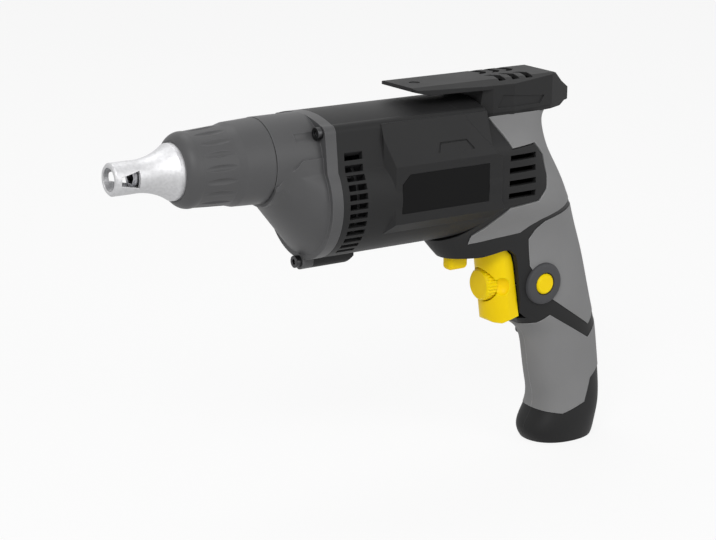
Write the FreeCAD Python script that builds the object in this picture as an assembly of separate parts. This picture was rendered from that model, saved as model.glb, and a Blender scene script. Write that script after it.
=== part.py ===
import FreeCAD, Part
import math
import os

# Drywall screwdriver in millimetres, +Z up
# The spindle turns on the X axis, the nose points to -X and its front face is at X = 0
# The user's left side is -Y

# Shared clearances
OVERRUN = 2.0
RUN_GAP = 0.35
FIT_GAP = 0.05
SEAT_GAP = 0.1
JOIN_TOLERANCE = 0.002

# Coil springs: steps in one turn and sides of the wire
SPRING_STEPS = 12
WIRE_SIDES = 6

# Nose cone
NOSE_TIP_RADIUS = 8.3
NOSE_BORE_RADIUS = 5.95
NOSE_RELIEF_RADIUS = 6.4
NOSE_LIP_CHAMFER = 0.8
NOSE_TIP_LENGTH = 11.0
NOSE_BASE_X = 35.5
NOSE_BASE_RADIUS = 14.4
NOSE_FLARE_X = 24.5
NOSE_FLARE_RADIUS = 10.2
NOSE_TAIL_LENGTH = 26.5
NOSE_CAVITY_X = 29.0
NOSE_CAVITY_RADIUS = 9.5
NOSE_LAND = 3.0
WINDOW_LENGTH = 10.2
WINDOW_FRONT_HEIGHT = 4.2
WINDOW_REAR_HEIGHT = 8.6
NOSE_TRAVEL = 3.0

# Depth collar
COLLAR_FRONT_X = 35.0
COLLAR_REAR_X = 82.0
COLLAR_LIP_RADIUS = 15.6
COLLAR_LIP_LENGTH = 8.0
COLLAR_FRONT_RADIUS = 19.2
COLLAR_WAIST_X = 62.0
COLLAR_WAIST_RADIUS = 20.3
COLLAR_STEP_LENGTH = 4.0
COLLAR_STEP_RADIUS = 21.4
COLLAR_REAR_RADIUS = 22.1
FLUTE_COUNT = 18
FLUTE_X = 52.3
FLUTE_LENGTH = 17.6
FLUTE_RADIUS = 2.2
FLUTE_DEPTH = 0.8

# Gear housing
NECK_RADIUS = 22.3
NECK_FRONT_X = 82.4
SPIGOT_FRONT_X = 48.5
SPIGOT_RADIUS = 11.9
SHOULDER_FRONT_X = 68.0
SHOULDER_RADIUS = 17.0
KEY_WIDTH = 3.0
KEY_HEIGHT = 1.2
KEY_X = 54.0
DETENT_X = 74.0
DETENT_WIRE = 1.6
FLANGE_X = 109.0
FLANGE_THICKNESS = 6.4
CASE_INSET = 2.6
CASE_TOP = 2.5
CASE_TOP_X = 97.0
CASE_SHOULDER = -11.0
CASE_CHIN = -22.5
CASE_CHIN_X = 88.0
CASE_CHIN_DROP = 9.0
CASE_FOOT_X = 104.5
CASE_FOOT = -51.0
CASE_NOSE_HALF = 20.5
CASE_WAIST_X = 91.0
CASE_WAIST_HALF = 22.0
CHAMBER_RADIUS = 20.3
CHAMBER_X = 93.5
CLUTCH_CHAMBER_RADIUS = 15.2
CLUTCH_CHAMBER_X = 85.5
PINION_POCKET_RADIUS = 6.0

# Motor section, shared by the flange, the motor housing and the handle's shoulder
MOTOR_DROP = 22.8
MOTOR_RADIUS = 32.2
SIDE_DROP = 5.3
RIDGE_HALF = 24.6
RIDGE_HEIGHT = 14.0
RIDGE_ROUND = 4.5
CROWN_HEIGHT = 22.0
SHELL_WALL = 2.5
PANEL_X = 148.0
PANEL_RAMP = 5.0
PANEL_TOP = 16.6
PANEL_HALF = 31.9
PANEL_CREASE = -5.4
PANEL_FOOT = -35.7
PANEL_TUCK = 5.0
PANEL_DEPTH = 10.0
EMBOSS_X = 175.0
EMBOSS_LENGTH = 24.0
EMBOSS_HEIGHT = 5.2
EMBOSS_Z = -1.2
EMBOSS_SLANT = 4.5
EMBOSS_LINE = 0.7
EMBOSS_DEPTH = 0.6

# Front vents
VENT_COUNT = 12
VENT_X = 119.5
VENT_LENGTH = 11.0
VENT_HEIGHT = 3.2
VENT_REACH = 42.0
VENT_FIRST = 44.0
VENT_LAST = -53.0

# Label place, left bare
LABEL_X = 152.0
LABEL_LENGTH = 56.0
LABEL_TOP = -10.1
LABEL_HEIGHT = 20.3
LABEL_CHAMFER = 4.8
LABEL_SINK = 0.5
LABEL_THICKNESS = 0.6

# Flange screws
SCREW_Y = 19.8
SCREW_Z = 14.8
LUG_DROP = 56.4
LUG_RADIUS = 4.4
LUG_LENGTH = 25.0
LUG_SLOPE = 4.0
HEAD_RADIUS = 3.2
HEAD_LENGTH = 3.0
HEAD_DRIVE_RADIUS = 1.5
HEAD_DRIVE_DEPTH = 1.4
SHANK_RADIUS = 1.9
SHANK_LENGTH = 18.0
POCKET_RADIUS = 3.6
BOSS_RADIUS = 4.3
BOSS_LENGTH = 20.0

# Spindle line
HOLDER_FRONT_X = 11.5
HOLDER_RADIUS = 5.5
HOLDER_REAR_X = 33.0
HOLDER_LIP = 0.6
HEX_FLATS = 6.35
BIT_FLATS = 6.5
BIT_DEPTH = 13.0
HOLDER_SHANK_LENGTH = 14.0
SPINDLE_FRONT_X = 33.2
JOURNAL_RADIUS = 7.5
SOCKET_DEPTH = 15.0
DISC_X = 88.6
DISC_THICKNESS = 4.0
DISC_RADIUS = 14.4
DOG_COUNT = 3
DOG_HEIGHT = 2.6
DOG_INNER = 9.0
DOG_OUTER = 14.0
DOG_SWEEP = 44.0
TAIL_RADIUS = 4.0
TAIL_END_X = 110.0
WASHER_THICKNESS = 1.8
WASHER_RADIUS = 13.0
BUSH_X = 54.5
BUSH_RADIUS = 10.0
SEAL_X = 50.0
SEAL_LENGTH = 4.3
SPRING_MEAN_RADIUS = 6.4
SPRING_WIRE = 1.0
SPRING_TURNS = 3

# Gear train
MODULE = 0.8
PRESSURE_ANGLE = 25.0
ADDENDUM_SHARE = 0.8
DEDENDUM_SHARE = 1.0
BACKLASH = 0.09
PINION_TEETH = 9
GEAR_TEETH = 48
GEAR_X = 99.5
GEAR_FACE = 8.0
PINION_X = 98.5
PINION_FACE = 9.8
HUB_RADIUS = 6.8
HUB_END_X = 114.6
GEAR_WEB_INNER = 7.5
GEAR_WEB_OUTER = 16.4
GEAR_WEB_DEPTH = 2.0
PLATE_X = 109.6
PLATE_THICKNESS = 5.7
PLATE_MOTOR_RADIUS = 24.0

# Motor
SHAFT_RADIUS = 5.0
SHAFT_END_X = 225.5
REAR_JOURNAL_RADIUS = 4.0
REAR_JOURNAL_X = 212.0
FRONT_BEARING_X = 110.0
FRONT_BEARING_RADIUS = 13.0
FRONT_BEARING_WIDTH = 8.0
REAR_BEARING_X = 218.2
REAR_BEARING_RADIUS = 9.5
REAR_BEARING_WIDTH = 6.0
BEARING_GROOVE = 0.6
BEARING_RACE = 2.0
BOOT_RADIUS = 11.5
CORE_X = 142.0
CORE_LENGTH = 36.0
CORE_RADIUS = 16.0
CORE_SLOTS = 12
CORE_SLOT_WIDTH = 2.4
CORE_SLOT_DEPTH = 2.2
WINDING_OVERHANG = 9.0
WINDING_RADIUS = 14.6
WINDING_CHAMFER = 4.0
COMMUTATOR_X = 190.0
COMMUTATOR_LENGTH = 15.0
COMMUTATOR_RADIUS = 10.5
COMMUTATOR_BARS = 16
COMMUTATOR_SLIT = 0.6
FIELD_RADIUS = 29.4
FIELD_YOKE = 4.6
FIELD_GAP = 0.7
POLE_SWEEP = 104.0
COIL_SWEEP = 26.0
COIL_OVERHANG = 7.0
COIL_GAP = 0.4
FAN_X = 119.5
FAN_LENGTH = 10.0
FAN_RADIUS = 26.0
FAN_HUB_RADIUS = 9.0
FAN_BACK = 1.6
FAN_BLADES = 11
FAN_BLADE_THICKNESS = 1.4
FAN_LEAN = 35.0
BAFFLE_X = 131.5
BAFFLE_THICKNESS = 2.5
BAFFLE_BORE = 21.0
BRUSH_X = 197.5
BRUSH_WIDTH = 6.0
BRUSH_HEIGHT = 8.0
BRUSH_LENGTH = 13.0
HOLDER_WALL = 1.5
HOLDER_START = 12.5
BRUSH_SPRING_RADIUS = 2.2
BRUSH_SPRING_WIRE = 0.7
BRUSH_SPRING_TURNS = 3

# Handle form
HANDLE_X = 190.0
HANDLE_REACH = 125.0
HANDLE_TOP = 11.0
HANDLE_DROP = 200.0
HANDLE_HALF = 31.0
FOOT_SHARE = 0.978
HANDLE_WALL = 3.6
RUBBER_DEPTH = 1.6
RUBBER_PROUD = 0.3
SHOULDER_END_X = 210.6
DECK_WALL = 2.5
BUTT_WALL = 4.0
SECTION_POINTS = 24

# One row per level: drop, front, back and half width, then the squareness of front and back
HANDLE_STATION_SHARES = [
    (-0.015, -0.040, 0.620, 0.700, 5.0, 2.6),
    (0.055, -0.040, 0.550, 0.930, 5.0, 2.6),
    (0.125, -0.040, 0.593, 1.000, 5.0, 2.6),
    (0.195, -0.040, 0.662, 1.000, 5.0, 2.6),
    (0.240, -0.036, 0.708, 0.930, 4.5, 2.5),
    (0.275, -0.030, 0.749, 0.790, 4.0, 2.4),
    (0.310, -0.016, 0.781, 0.650, 3.2, 2.3),
    (0.355, 0.028, 0.812, 0.560, 2.6, 2.2),
    (0.415, 0.116, 0.846, 0.525, 2.4, 2.2),
    (0.505, 0.256, 0.885, 0.522, 2.3, 2.2),
    (0.585, 0.400, 0.916, 0.526, 2.2, 2.2),
    (0.640, 0.535, 0.936, 0.525, 2.2, 2.2),
    (0.715, 0.580, 0.955, 0.518, 2.2, 2.2),
    (0.805, 0.608, 0.972, 0.532, 2.2, 2.2),
    (0.845, 0.624, 0.971, 0.555, 2.3, 2.3),
    (0.885, 0.618, 0.964, 0.580, 2.4, 2.4),
    (0.925, 0.584, 0.953, 0.587, 2.4, 2.4),
    (0.955, 0.575, 0.947, 0.572, 2.3, 2.3),
    (0.985, 0.602, 0.925, 0.535, 2.2, 2.2),
]

# Seam between motor housing and handle, reach and drop
SEAM_SHARES = [
    (-1.000, -0.300), (0.004, -0.300), (0.010, -0.059), (0.048, -0.022), (0.109, 0.026),
    (0.184, 0.075), (0.213, 0.095), (0.213, 0.212), (0.235, 0.235), (0.196, 0.260),
    (0.128, 0.295), (0.080, 0.315), (0.000, 0.335), (-0.032, 0.355), (-0.060, 0.500), (-1.000, 0.500),
]

# Soft grip panels on each side, reach and drop
TANG_PANEL_SHARES = [
    (0.176, -0.030), (0.268, 0.078), (0.398, 0.073), (0.452, 0.109), (0.472, 0.165), (0.468, 0.200),
    (0.432, 0.230), (0.280, 0.238), (0.244, 0.258), (0.188, 0.293), (0.140, 0.315), (0.140, 0.340),
    (0.272, 0.332), (0.400, 0.327), (0.448, 0.308), (0.500, 0.293), (0.624, 0.273), (0.816, 0.234),
    (1.100, 0.170), (1.100, -0.030),
]
PALM_PANEL_SHARES = [
    (0.880, 0.258), (0.636, 0.295), (0.536, 0.308), (0.492, 0.328), (0.460, 0.355), (0.480, 0.435),
    (0.608, 0.540), (0.838, 0.638), (0.976, 0.575), (1.100, 0.520), (1.100, 0.200),
]
LOWER_PANEL_SHARES = [
    (0.368, 0.595), (0.484, 0.613), (0.548, 0.608), (0.604, 0.588), (0.836, 0.678), (0.976, 0.615),
    (1.120, 0.560), (1.120, 0.760), (0.912, 0.780), (0.856, 0.800), (0.813, 0.865), (0.696, 0.890),
    (0.597, 0.882), (0.456, 0.843), (0.400, 0.805),
]

# Open bay in front of the grip where trigger and lever hang, reach and drop
BAY_TOP_SHARE = 0.390
BAY_SHARES = [
    (-0.200, BAY_TOP_SHARE), (0.225, BAY_TOP_SHARE), (0.332, 0.378), (0.368, 0.380), (0.398, 0.397),
    (0.412, 0.424), (0.456, 0.592), (0.492, 0.618), (0.470, 0.640), (0.400, 0.700), (-0.200, 0.700),
]
BAY_FLOOR = 2.5

# Handle vents
HANDLE_VENT_COUNT = 4
HANDLE_VENT_REACH_SHARE = 0.256
HANDLE_VENT_DROP_SHARE = 0.1015
HANDLE_VENT_PITCH = 6.9
HANDLE_VENT_LENGTH = 18.5
HANDLE_VENT_HEIGHT = 3.2

# Handle posts and screws, reach and drop
POST_SHARES = [(0.440, 0.080), (0.690, 0.330), (0.610, 0.660), (0.880, 0.800), (0.650, 0.935)]
POST_RADIUS = 4.0
POST_HEAD_RADIUS = 3.1
POST_HEAD_LENGTH = 2.6
POST_HEAD_FACE = 9.0
POST_SHANK_LENGTH = 14.0
BEARING_WEB_X = 218.0
BEARING_WEB_WIDTH = 6.4
WEB_REACH = 27.0
WEB_WINDOW_INNER = 15.0
WEB_WINDOW_OUTER = 24.5
WEB_WINDOW_SWEEP = 100.0

# Trigger
TRIGGER_HALF = 12.2
TRIGGER_TUNNEL_SHARES = [(0.330, 0.3775), (0.528, 0.3775), (0.528, 0.590), (0.440, 0.590)]
TRIGGER_SHARES = [
    (0.250, 0.393), (0.330, 0.381), (0.366, 0.383), (0.395, 0.400), (0.408, 0.425), (0.450, 0.580),
    (0.400, 0.588), (0.372, 0.597), (0.345, 0.596), (0.322, 0.582), (0.250, 0.545),
]
TRIGGER_FRONT_SHARE = 0.280
TRIGGER_FRONT_ROUND = 9.0
TRIGGER_LEAN = 7.0
TRIGGER_HEIGHT = 48.0
DIAL_DROP_SHARE = 0.490
DIAL_RADIUS = 9.0
DIAL_FACE_X = 226.8
DIAL_THICKNESS = 6.4
DIAL_EDGE = 1.2
DIAL_RIDGES = 28
DIAL_RIDGE_DEPTH = 0.7
DIAL_MARGIN = 0.8
SCOOP_RADIUS = 6.0
SCOOP_HALF = 13.5
DIAL_STEM_RADIUS = 2.5
DIAL_STEM_LENGTH = 5.0
PLUNGER_RADIUS = 2.5
PLUNGER_END_X = 263.0
PLUNGER_BORE_DEPTH = 12.0
TRIGGER_SEAT_X = 247.0
TRIGGER_SEAT_RADIUS = 5.5
TRIGGER_SEAT_DEPTH = 6.0
TRIGGER_SPRING_RADIUS = 4.0
TRIGGER_SPRING_WIRE = 0.8
TRIGGER_SPRING_TURNS = 5

# Switch and other electrical pieces
SWITCH_X = 261.0
SWITCH_LENGTH = 22.0
SWITCH_NEAR = -5.0
SWITCH_FAR = 6.0
SWITCH_TOP_SHARE = 0.400
SWITCH_HEIGHT = 40.0
SWITCH_EDGE = 1.5
TERMINAL_SIZE = 3.0
TERMINAL_PITCH = 6.0
TERMINAL_COUNT = 3
CAPACITOR_REACH_SHARE = 0.800
CAPACITOR_DROP_SHARE = 0.690
CAPACITOR_RADIUS = 5.5
CAPACITOR_HALF = 10.0
CLAMP_REACH_SHARE = 0.800
CLAMP_DROP_SHARE = 0.890
CLAMP_LENGTH = 24.0
CLAMP_WIDTH = 8.0
CLAMP_THICKNESS = 4.0
CLAMP_SCREW_PITCH = 15.0
CLAMP_PAD_RADIUS = 3.4
CLAMP_SADDLE_RADIUS = 3.4
CLAMP_SHANK_RADIUS = 1.6
CLAMP_SHANK_LENGTH = 9.0
CLAMP_HEAD_LENGTH = 2.2
GLAND_REACH_SHARE = 0.800
GLAND_RADIUS = 6.4
GLAND_BORE_RADIUS = 4.0
GLAND_LENGTH = 9.0
GLAND_RIM_RADIUS = 8.0
GLAND_RIM_LENGTH = 3.0

# Direction lever
LEVER_PIVOT_REACH_SHARE = 0.304
LEVER_PLATE_DROP_SHARE = 0.350
LEVER_PIN_DROP_SHARE = 0.380
LEVER_PLATE_THICKNESS = 2.4
LEVER_PLATE_HALF = 3.6
LEVER_TAB_REACH_SHARE = 0.112
LEVER_TAB_LENGTH = 13.0
LEVER_TAB_HEIGHT = 13.9
LEVER_TAB_HALF = 3.8
LEVER_TAB_ROUND = 2.6
LEVER_SWING = 9.0
LEVER_PIN_RADIUS = 2.0
LEVER_EYE_RADIUS = 4.4
LEVER_PIN_LENGTH = 6.0
LEVER_SLOT_GAP = 0.6

# Lock button
BUTTON_REACH_SHARE = 0.557
BUTTON_DROP_SHARE = 0.491
BUTTON_RADIUS = 5.8
BUTTON_FACE = 19.0
BUTTON_DOME = 1.0
BUTTON_FLANGE_RADIUS = 7.2
BUTTON_FLANGE_FACE = 11.4
BUTTON_FLANGE_THICKNESS = 1.4
RING_RADIUS = 9.6
RING_FACE = 18.0
RING_ROOT = 13.0
RING_BEVEL = 1.4
BUTTON_SPRING_RADIUS = 3.0
BUTTON_SPRING_WIRE = 0.7
BUTTON_SPRING_TURNS = 3

# Belt hook and rear cover in one moulding
HOOK_TIP_X = 170.0
HOOK_TOP = 30.6
HOOK_THICKNESS = 4.0
HOOK_TIP_RAMP = 9.0
HOOK_TIP_HALF = 17.0
HOOK_TIP_ROUND = 4.0
HOOK_DIMPLE_X = 181.0
HOOK_DIMPLE_RADIUS = 3.0
HOOK_DIMPLE_DEPTH = 0.5
HOOK_ROOT_X = 213.5
HOOK_ROOT_HALF = 20.5
COVER_FOOT_X = 210.9
COVER_CORNER_X = 218.0
COVER_CORNER_HALF = 16.0
COVER_WIDE_X = 232.0
COVER_WIDE_HALF = 21.0
COVER_NARROW_X = 262.0
COVER_NARROW_HALF = 15.5
COVER_END_X = 278.6
COVER_END_HALF = 8.5
COVER_END_TOP = 20.5
COVER_END_FOOT = 14.0
COVER_BROW_X = 265.0
COVER_BREAK_X = 271.5
COVER_BREAK_TOP = 25.0
COVER_TAIL_X = 272.0
COVER_HOLLOW_END_X = 258.0
COVER_LIP_HEIGHT = 2.6
COVER_LIP_INSET = 0.8
CROWN_FLAT_HALF = 13.0
CROWN_SIDE_HALF = 22.5
CROWN_SIDE_DROP = 2.6
COVER_WALL = 2.2
CHEVRON_COUNT = 3
CHEVRON_X = 227.4
CHEVRON_PITCH = 9.1
CHEVRON_WIDTH = 4.6
CHEVRON_INNER = 2.4
CHEVRON_BEND = 5.8
CHEVRON_OUTER = 16.0
CHEVRON_LEAN = 3.6
SIDE_RECESS_X = 221.0
SIDE_RECESS_FOOT = 16.2
SIDE_RECESS_TOP = 23.0
SIDE_RECESS_END_X = 256.0
SIDE_RECESS_END_FOOT = 15.4
SIDE_RECESS_END_TOP = 19.5
SIDE_RECESS_SLANT = 3.4
SIDE_RECESS_DEPTH = 0.7
HOOK_SCREW_X = 221.0
HOOK_SCREW_PITCH = 32.0
HOOK_POST_RADIUS = 4.0
HOOK_SHANK_UP = 10.0

MOTOR_Z = -MOTOR_DROP
COVER_FOOT = HANDLE_TOP
FLANGE_REAR_X = FLANGE_X + FLANGE_THICKNESS
X_AXIS = FreeCAD.Vector(1, 0, 0)
Y_AXIS = FreeCAD.Vector(0, 1, 0)
Z_AXIS = FreeCAD.Vector(0, 0, 1)


def vec(x, y, z):
    return FreeCAD.Vector(x, y, z)


def path_edges(points, place):
    # A pair is a straight run to that point, a foursome an arc through the first pair to the second
    edges = []
    here = place(*points[0])
    for point in points[1:] + [points[0][:2]]:
        there = place(*point[-2:])
        if len(point) == 4:
            edges.append(Part.Arc(here, place(*point[:2]), there).toShape())
        elif here.distanceToPoint(there) > JOIN_TOLERANCE:
            edges.append(Part.LineSegment(here, there).toShape())
        here = there
    return edges


def face_of(points, place):
    return Part.Face(Part.Wire(path_edges(points, place)))


def prism_x(points, start, end):
    return face_of(points, lambda y, z: vec(start, y, z)).extrude(vec(end - start, 0, 0))


def prism_y(points, start, end):
    return face_of(points, lambda x, z: vec(x, start, z)).extrude(vec(0, end - start, 0))


def prism_z(points, start, end):
    return face_of(points, lambda x, y: vec(x, y, start)).extrude(vec(0, 0, end - start))


def rod_x(start, end, radius, y=0, z=0):
    return Part.makeCylinder(radius, end - start, vec(start, y, z), X_AXIS)


def rod_y(start, end, radius, x, z):
    return Part.makeCylinder(radius, end - start, vec(x, start, z), Y_AXIS)


def rod_z(start, end, radius, x, y):
    return Part.makeCylinder(radius, end - start, vec(x, y, start), Z_AXIS)


def tube_x(start, end, outer, inner, z=0):
    bore = rod_x(start - OVERRUN, end + OVERRUN, inner, 0, z)
    return rod_x(start, end, outer, 0, z).cut(bore)


def block(x0, x1, y0, y1, z0, z1):
    return Part.makeBox(x1 - x0, y1 - y0, z1 - z0, vec(x0, y0, z0))


def turned(points, z=0):
    # Pairs are X and radius about an axis along X at height z
    return face_of(points, lambda x, r: vec(x, 0, z + r)).revolve(vec(0, 0, z), X_AXIS, 360)


def hex_bar(start, end, flats):
    corner = flats / math.sqrt(3)
    steps = [math.radians(60 * k) for k in range(6)]
    return prism_x([(corner * math.cos(a), corner * math.sin(a)) for a in steps], start, end)


def sector(start, end, inner, outer, middle, sweep, z=0):
    # Ring segment about an axis along X, angles in degrees from +Y towards +Z
    first = math.radians(middle - sweep / 2)
    last = math.radians(middle + sweep / 2)
    mid = math.radians(middle)

    def at(radius, angle):
        return (radius * math.cos(angle), z + radius * math.sin(angle))

    points = [at(inner, first), at(outer, first), at(outer, mid) + at(outer, last), at(inner, last)]
    edges = path_edges(points, lambda y, h: vec(start, y, h))[:-1]
    inside = [vec(start, *at(inner, angle)) for angle in (last, mid, first)]
    closing = Part.Arc(*inside)
    face = Part.Face(Part.Wire(edges + [closing.toShape()]))
    return face.extrude(vec(end - start, 0, 0))


def fused(shapes):
    return shapes[0].multiFuse(shapes[1:]).removeSplitter()


def around_x(shape, count, z=0):
    copies = []
    for k in range(count):
        copy = shape.copy()
        copy.rotate(vec(0, 0, z), X_AXIS, 360 * k / count)
        copies.append(copy)
    return copies


def mirrored(shape):
    return shape.mirror(vec(0, 0, 0), Y_AXIS)


def coil_spring(radius, wire, turns, length, base, axis):
    # Open helix of flat-sided wire that fills the stated length
    steps = turns * SPRING_STEPS
    sections = []
    for k in range(steps + 1):
        turn = 2 * math.pi * k / SPRING_STEPS
        rise = wire / 2 + (length - wire) * k / steps
        points = []
        for j in range(WIRE_SIDES + 1):
            side = 2 * math.pi * (j % WIRE_SIDES) / WIRE_SIDES
            out = radius + wire / 2 * math.cos(side)
            points.append(vec(out * math.cos(turn), out * math.sin(turn), rise + wire / 2 * math.sin(side)))
        sections.append(Part.makePolygon(points))
    spring = Part.makeLoft(sections, True, True)
    spring.Placement = FreeCAD.Placement(base, FreeCAD.Rotation(Z_AXIS, axis))
    return spring


def reach(share):
    return HANDLE_X + share * HANDLE_REACH


def level(share):
    return HANDLE_TOP - share * HANDLE_DROP


def butt():
    return level(FOOT_SHARE)


def handle_points(shares):
    return [(reach(x), level(z)) for x, z in shares]


def wide_prism(shares):
    return prism_y(handle_points(shares), -HANDLE_HALF - OVERRUN, HANDLE_HALF + OVERRUN)


def motor_outline(inset):
    # Round belly below, leaning sides and a low arch on top
    radius = MOTOR_RADIUS - inset
    side = math.sqrt(radius ** 2 - (MOTOR_DROP - SIDE_DROP) ** 2)
    ridge = RIDGE_HALF - inset
    corner = ridge - RIDGE_ROUND
    top = RIDGE_HEIGHT + RIDGE_ROUND - inset
    bend = RIDGE_ROUND * (1 - math.sqrt(0.5))
    knee = RIDGE_HEIGHT - inset
    return [
        (-side, -SIDE_DROP),
        (0, MOTOR_Z - radius, side, -SIDE_DROP),
        (ridge, knee),
        (ridge - bend, top - bend, corner, top),
        (0, CROWN_HEIGHT - inset, -corner, top),
        (bend - ridge, top - bend, -ridge, knee),
    ]


def side_panel():
    # Leaning upper face, upright label face and tucked lower edge on the right side
    inner = PANEL_HALF - PANEL_DEPTH
    section = [
        (RIDGE_HALF - RIDGE_ROUND, PANEL_TOP), (RIDGE_HALF, PANEL_TOP), (PANEL_HALF, PANEL_CREASE),
        (PANEL_HALF, PANEL_FOOT), (PANEL_HALF - PANEL_TUCK, PANEL_FOOT - PANEL_TUCK),
        (inner, PANEL_FOOT - PANEL_TUCK),
    ]
    bar = prism_x(section, PANEL_X - PANEL_RAMP, reach(SEAM_SHARES[8][0]) + OVERRUN)
    ramp = [
        (PANEL_X - PANEL_RAMP, 0), (PANEL_X - PANEL_RAMP, PANEL_HALF - PANEL_RAMP), (PANEL_X, PANEL_HALF),
        (reach(1), PANEL_HALF), (reach(1), 0),
    ]
    return bar.common(prism_z(ramp, level(1), HANDLE_TOP + HANDLE_REACH))


def screw_places():
    return [(-SCREW_Y, SCREW_Z), (SCREW_Y, SCREW_Z), (0, -LUG_DROP)]


def lug(start, end):
    # Bottom screw lug, round below and rooted in the belly above
    root = MOTOR_Z - MOTOR_RADIUS + LUG_RADIUS
    web = block(start, end, -LUG_RADIUS, LUG_RADIUS, -LUG_DROP, root)
    return rod_x(start, end, LUG_RADIUS, 0, -LUG_DROP).fuse(web)


def screw(start, y, z):
    # Pan head with a socket, shank towards +X
    head = rod_x(start - HEAD_LENGTH, start, HEAD_RADIUS, y, z)
    drive = rod_x(start - HEAD_LENGTH, start - HEAD_LENGTH + HEAD_DRIVE_DEPTH, HEAD_DRIVE_RADIUS, y, z)
    return head.fuse(rod_x(start, start + SHANK_LENGTH, SHANK_RADIUS, y, z)).cut(drive)


def nose_cone():
    tail = NOSE_BASE_X + NOSE_TAIL_LENGTH
    sleeve = SPIGOT_RADIUS + FIT_GAP
    profile = [
        (0, NOSE_BORE_RADIUS), (0, NOSE_TIP_RADIUS - NOSE_LIP_CHAMFER), (NOSE_LIP_CHAMFER, NOSE_TIP_RADIUS),
        (NOSE_TIP_LENGTH, NOSE_TIP_RADIUS),
        (NOSE_FLARE_X, NOSE_FLARE_RADIUS, NOSE_BASE_X - NOSE_TRAVEL, NOSE_BASE_RADIUS),
        (tail, NOSE_BASE_RADIUS), (tail, sleeve), (SPIGOT_FRONT_X - NOSE_TRAVEL - RUN_GAP, sleeve),
        (SPIGOT_FRONT_X - NOSE_TRAVEL - RUN_GAP, NOSE_CAVITY_RADIUS),
        (NOSE_CAVITY_X, NOSE_CAVITY_RADIUS), (NOSE_CAVITY_X, NOSE_RELIEF_RADIUS),
        (NOSE_LAND, NOSE_RELIEF_RADIUS), (NOSE_LAND, NOSE_BORE_RADIUS),
    ]
    cone = turned(profile)
    end = NOSE_LAND + WINDOW_LENGTH
    window = [
        (NOSE_LAND, -WINDOW_FRONT_HEIGHT / 2), (end, -WINDOW_REAR_HEIGHT / 2),
        (end, WINDOW_REAR_HEIGHT / 2), (NOSE_LAND, WINDOW_FRONT_HEIGHT / 2),
    ]
    cone = cone.cut(prism_y(window, -NOSE_BASE_RADIUS, NOSE_BASE_RADIUS))
    return cone.cut(spigot_keys(KEY_X - NOSE_TRAVEL - RUN_GAP, tail + OVERRUN, RUN_GAP))


def spigot_keys(start, end, gap):
    # Two keys that stop the nose from turning while the collar winds it in and out
    half = KEY_WIDTH / 2 + gap
    height = SPIGOT_RADIUS + KEY_HEIGHT + gap
    return block(start, end, -half, half, -height, height)


def depth_collar():
    bore = NOSE_BASE_RADIUS + FIT_GAP
    seat = SHOULDER_RADIUS + FIT_GAP
    face = SHOULDER_FRONT_X - RUN_GAP
    step = COLLAR_WAIST_X + COLLAR_STEP_LENGTH
    bend = COLLAR_FRONT_X + COLLAR_LIP_LENGTH * (1 - math.sqrt(0.5))
    lip = COLLAR_LIP_RADIUS + (COLLAR_FRONT_RADIUS - COLLAR_LIP_RADIUS) * math.sqrt(0.5)
    profile = [
        (COLLAR_FRONT_X, bore), (COLLAR_FRONT_X, COLLAR_LIP_RADIUS),
        (bend, lip, COLLAR_FRONT_X + COLLAR_LIP_LENGTH, COLLAR_FRONT_RADIUS),
        (COLLAR_WAIST_X, COLLAR_WAIST_RADIUS), (step, COLLAR_STEP_RADIUS),
        (COLLAR_REAR_X, COLLAR_REAR_RADIUS), (COLLAR_REAR_X, seat), (face, seat), (face, bore),
    ]
    collar = turned(profile)
    grooved = collar.cut(rod_x(*detent_span(FIT_GAP), SHOULDER_RADIUS + DETENT_WIRE / 2 + FIT_GAP))
    return grooved.cut(Part.makeCompound(around_x(flute(), FLUTE_COUNT)))


def flute():
    # Ring whose lowest stretch scoops a slender hollow out of the collar's cone
    lip_end = COLLAR_FRONT_X + COLLAR_LIP_LENGTH
    slope = math.atan2(COLLAR_WAIST_RADIUS - COLLAR_FRONT_RADIUS, COLLAR_WAIST_X - lip_end)
    sweep = FLUTE_LENGTH ** 2 / (8 * FLUTE_DEPTH)
    out = sweep - FLUTE_DEPTH
    surface = COLLAR_FRONT_RADIUS + math.tan(slope) * (FLUTE_X - lip_end)
    centre = vec(FLUTE_X - math.sin(slope) * out, 0, surface + math.cos(slope) * out)
    return Part.makeTorus(sweep - FLUTE_RADIUS, FLUTE_RADIUS, centre, Y_AXIS)


def detent_span(gap):
    return DETENT_X - DETENT_WIRE / 2 - gap, DETENT_X + DETENT_WIRE / 2 + gap


def detent_ring():
    # Friction ring in the shoulder's groove that holds the collar's setting
    return tube_x(*detent_span(0), SHOULDER_RADIUS + DETENT_WIRE / 2, SHOULDER_RADIUS - DETENT_WIRE / 2)


def gear_case():
    # Wedge under the neck: side outline, plan outline and motor section taken together
    side = [
        (CASE_TOP_X, CASE_TOP), (NECK_FRONT_X, CASE_SHOULDER), (NECK_FRONT_X, CASE_CHIN),
        (CASE_CHIN_X, CASE_CHIN - CASE_CHIN_DROP), (CASE_FOOT_X, CASE_FOOT),
        (FLANGE_X, MOTOR_Z - MOTOR_RADIUS), (FLANGE_X, CASE_TOP),
    ]
    plan = [
        (NECK_FRONT_X, -CASE_NOSE_HALF), (CASE_WAIST_X, -CASE_WAIST_HALF), (FLANGE_X, -MOTOR_RADIUS),
        (FLANGE_X, MOTOR_RADIUS), (CASE_WAIST_X, CASE_WAIST_HALF), (NECK_FRONT_X, CASE_NOSE_HALF),
    ]
    body = prism_x(motor_outline(CASE_INSET), NECK_FRONT_X, FLANGE_X)
    body = body.common(prism_y(side, -MOTOR_RADIUS, MOTOR_RADIUS))
    return body.common(prism_z(plan, MOTOR_Z - MOTOR_RADIUS, CROWN_HEIGHT))


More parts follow.
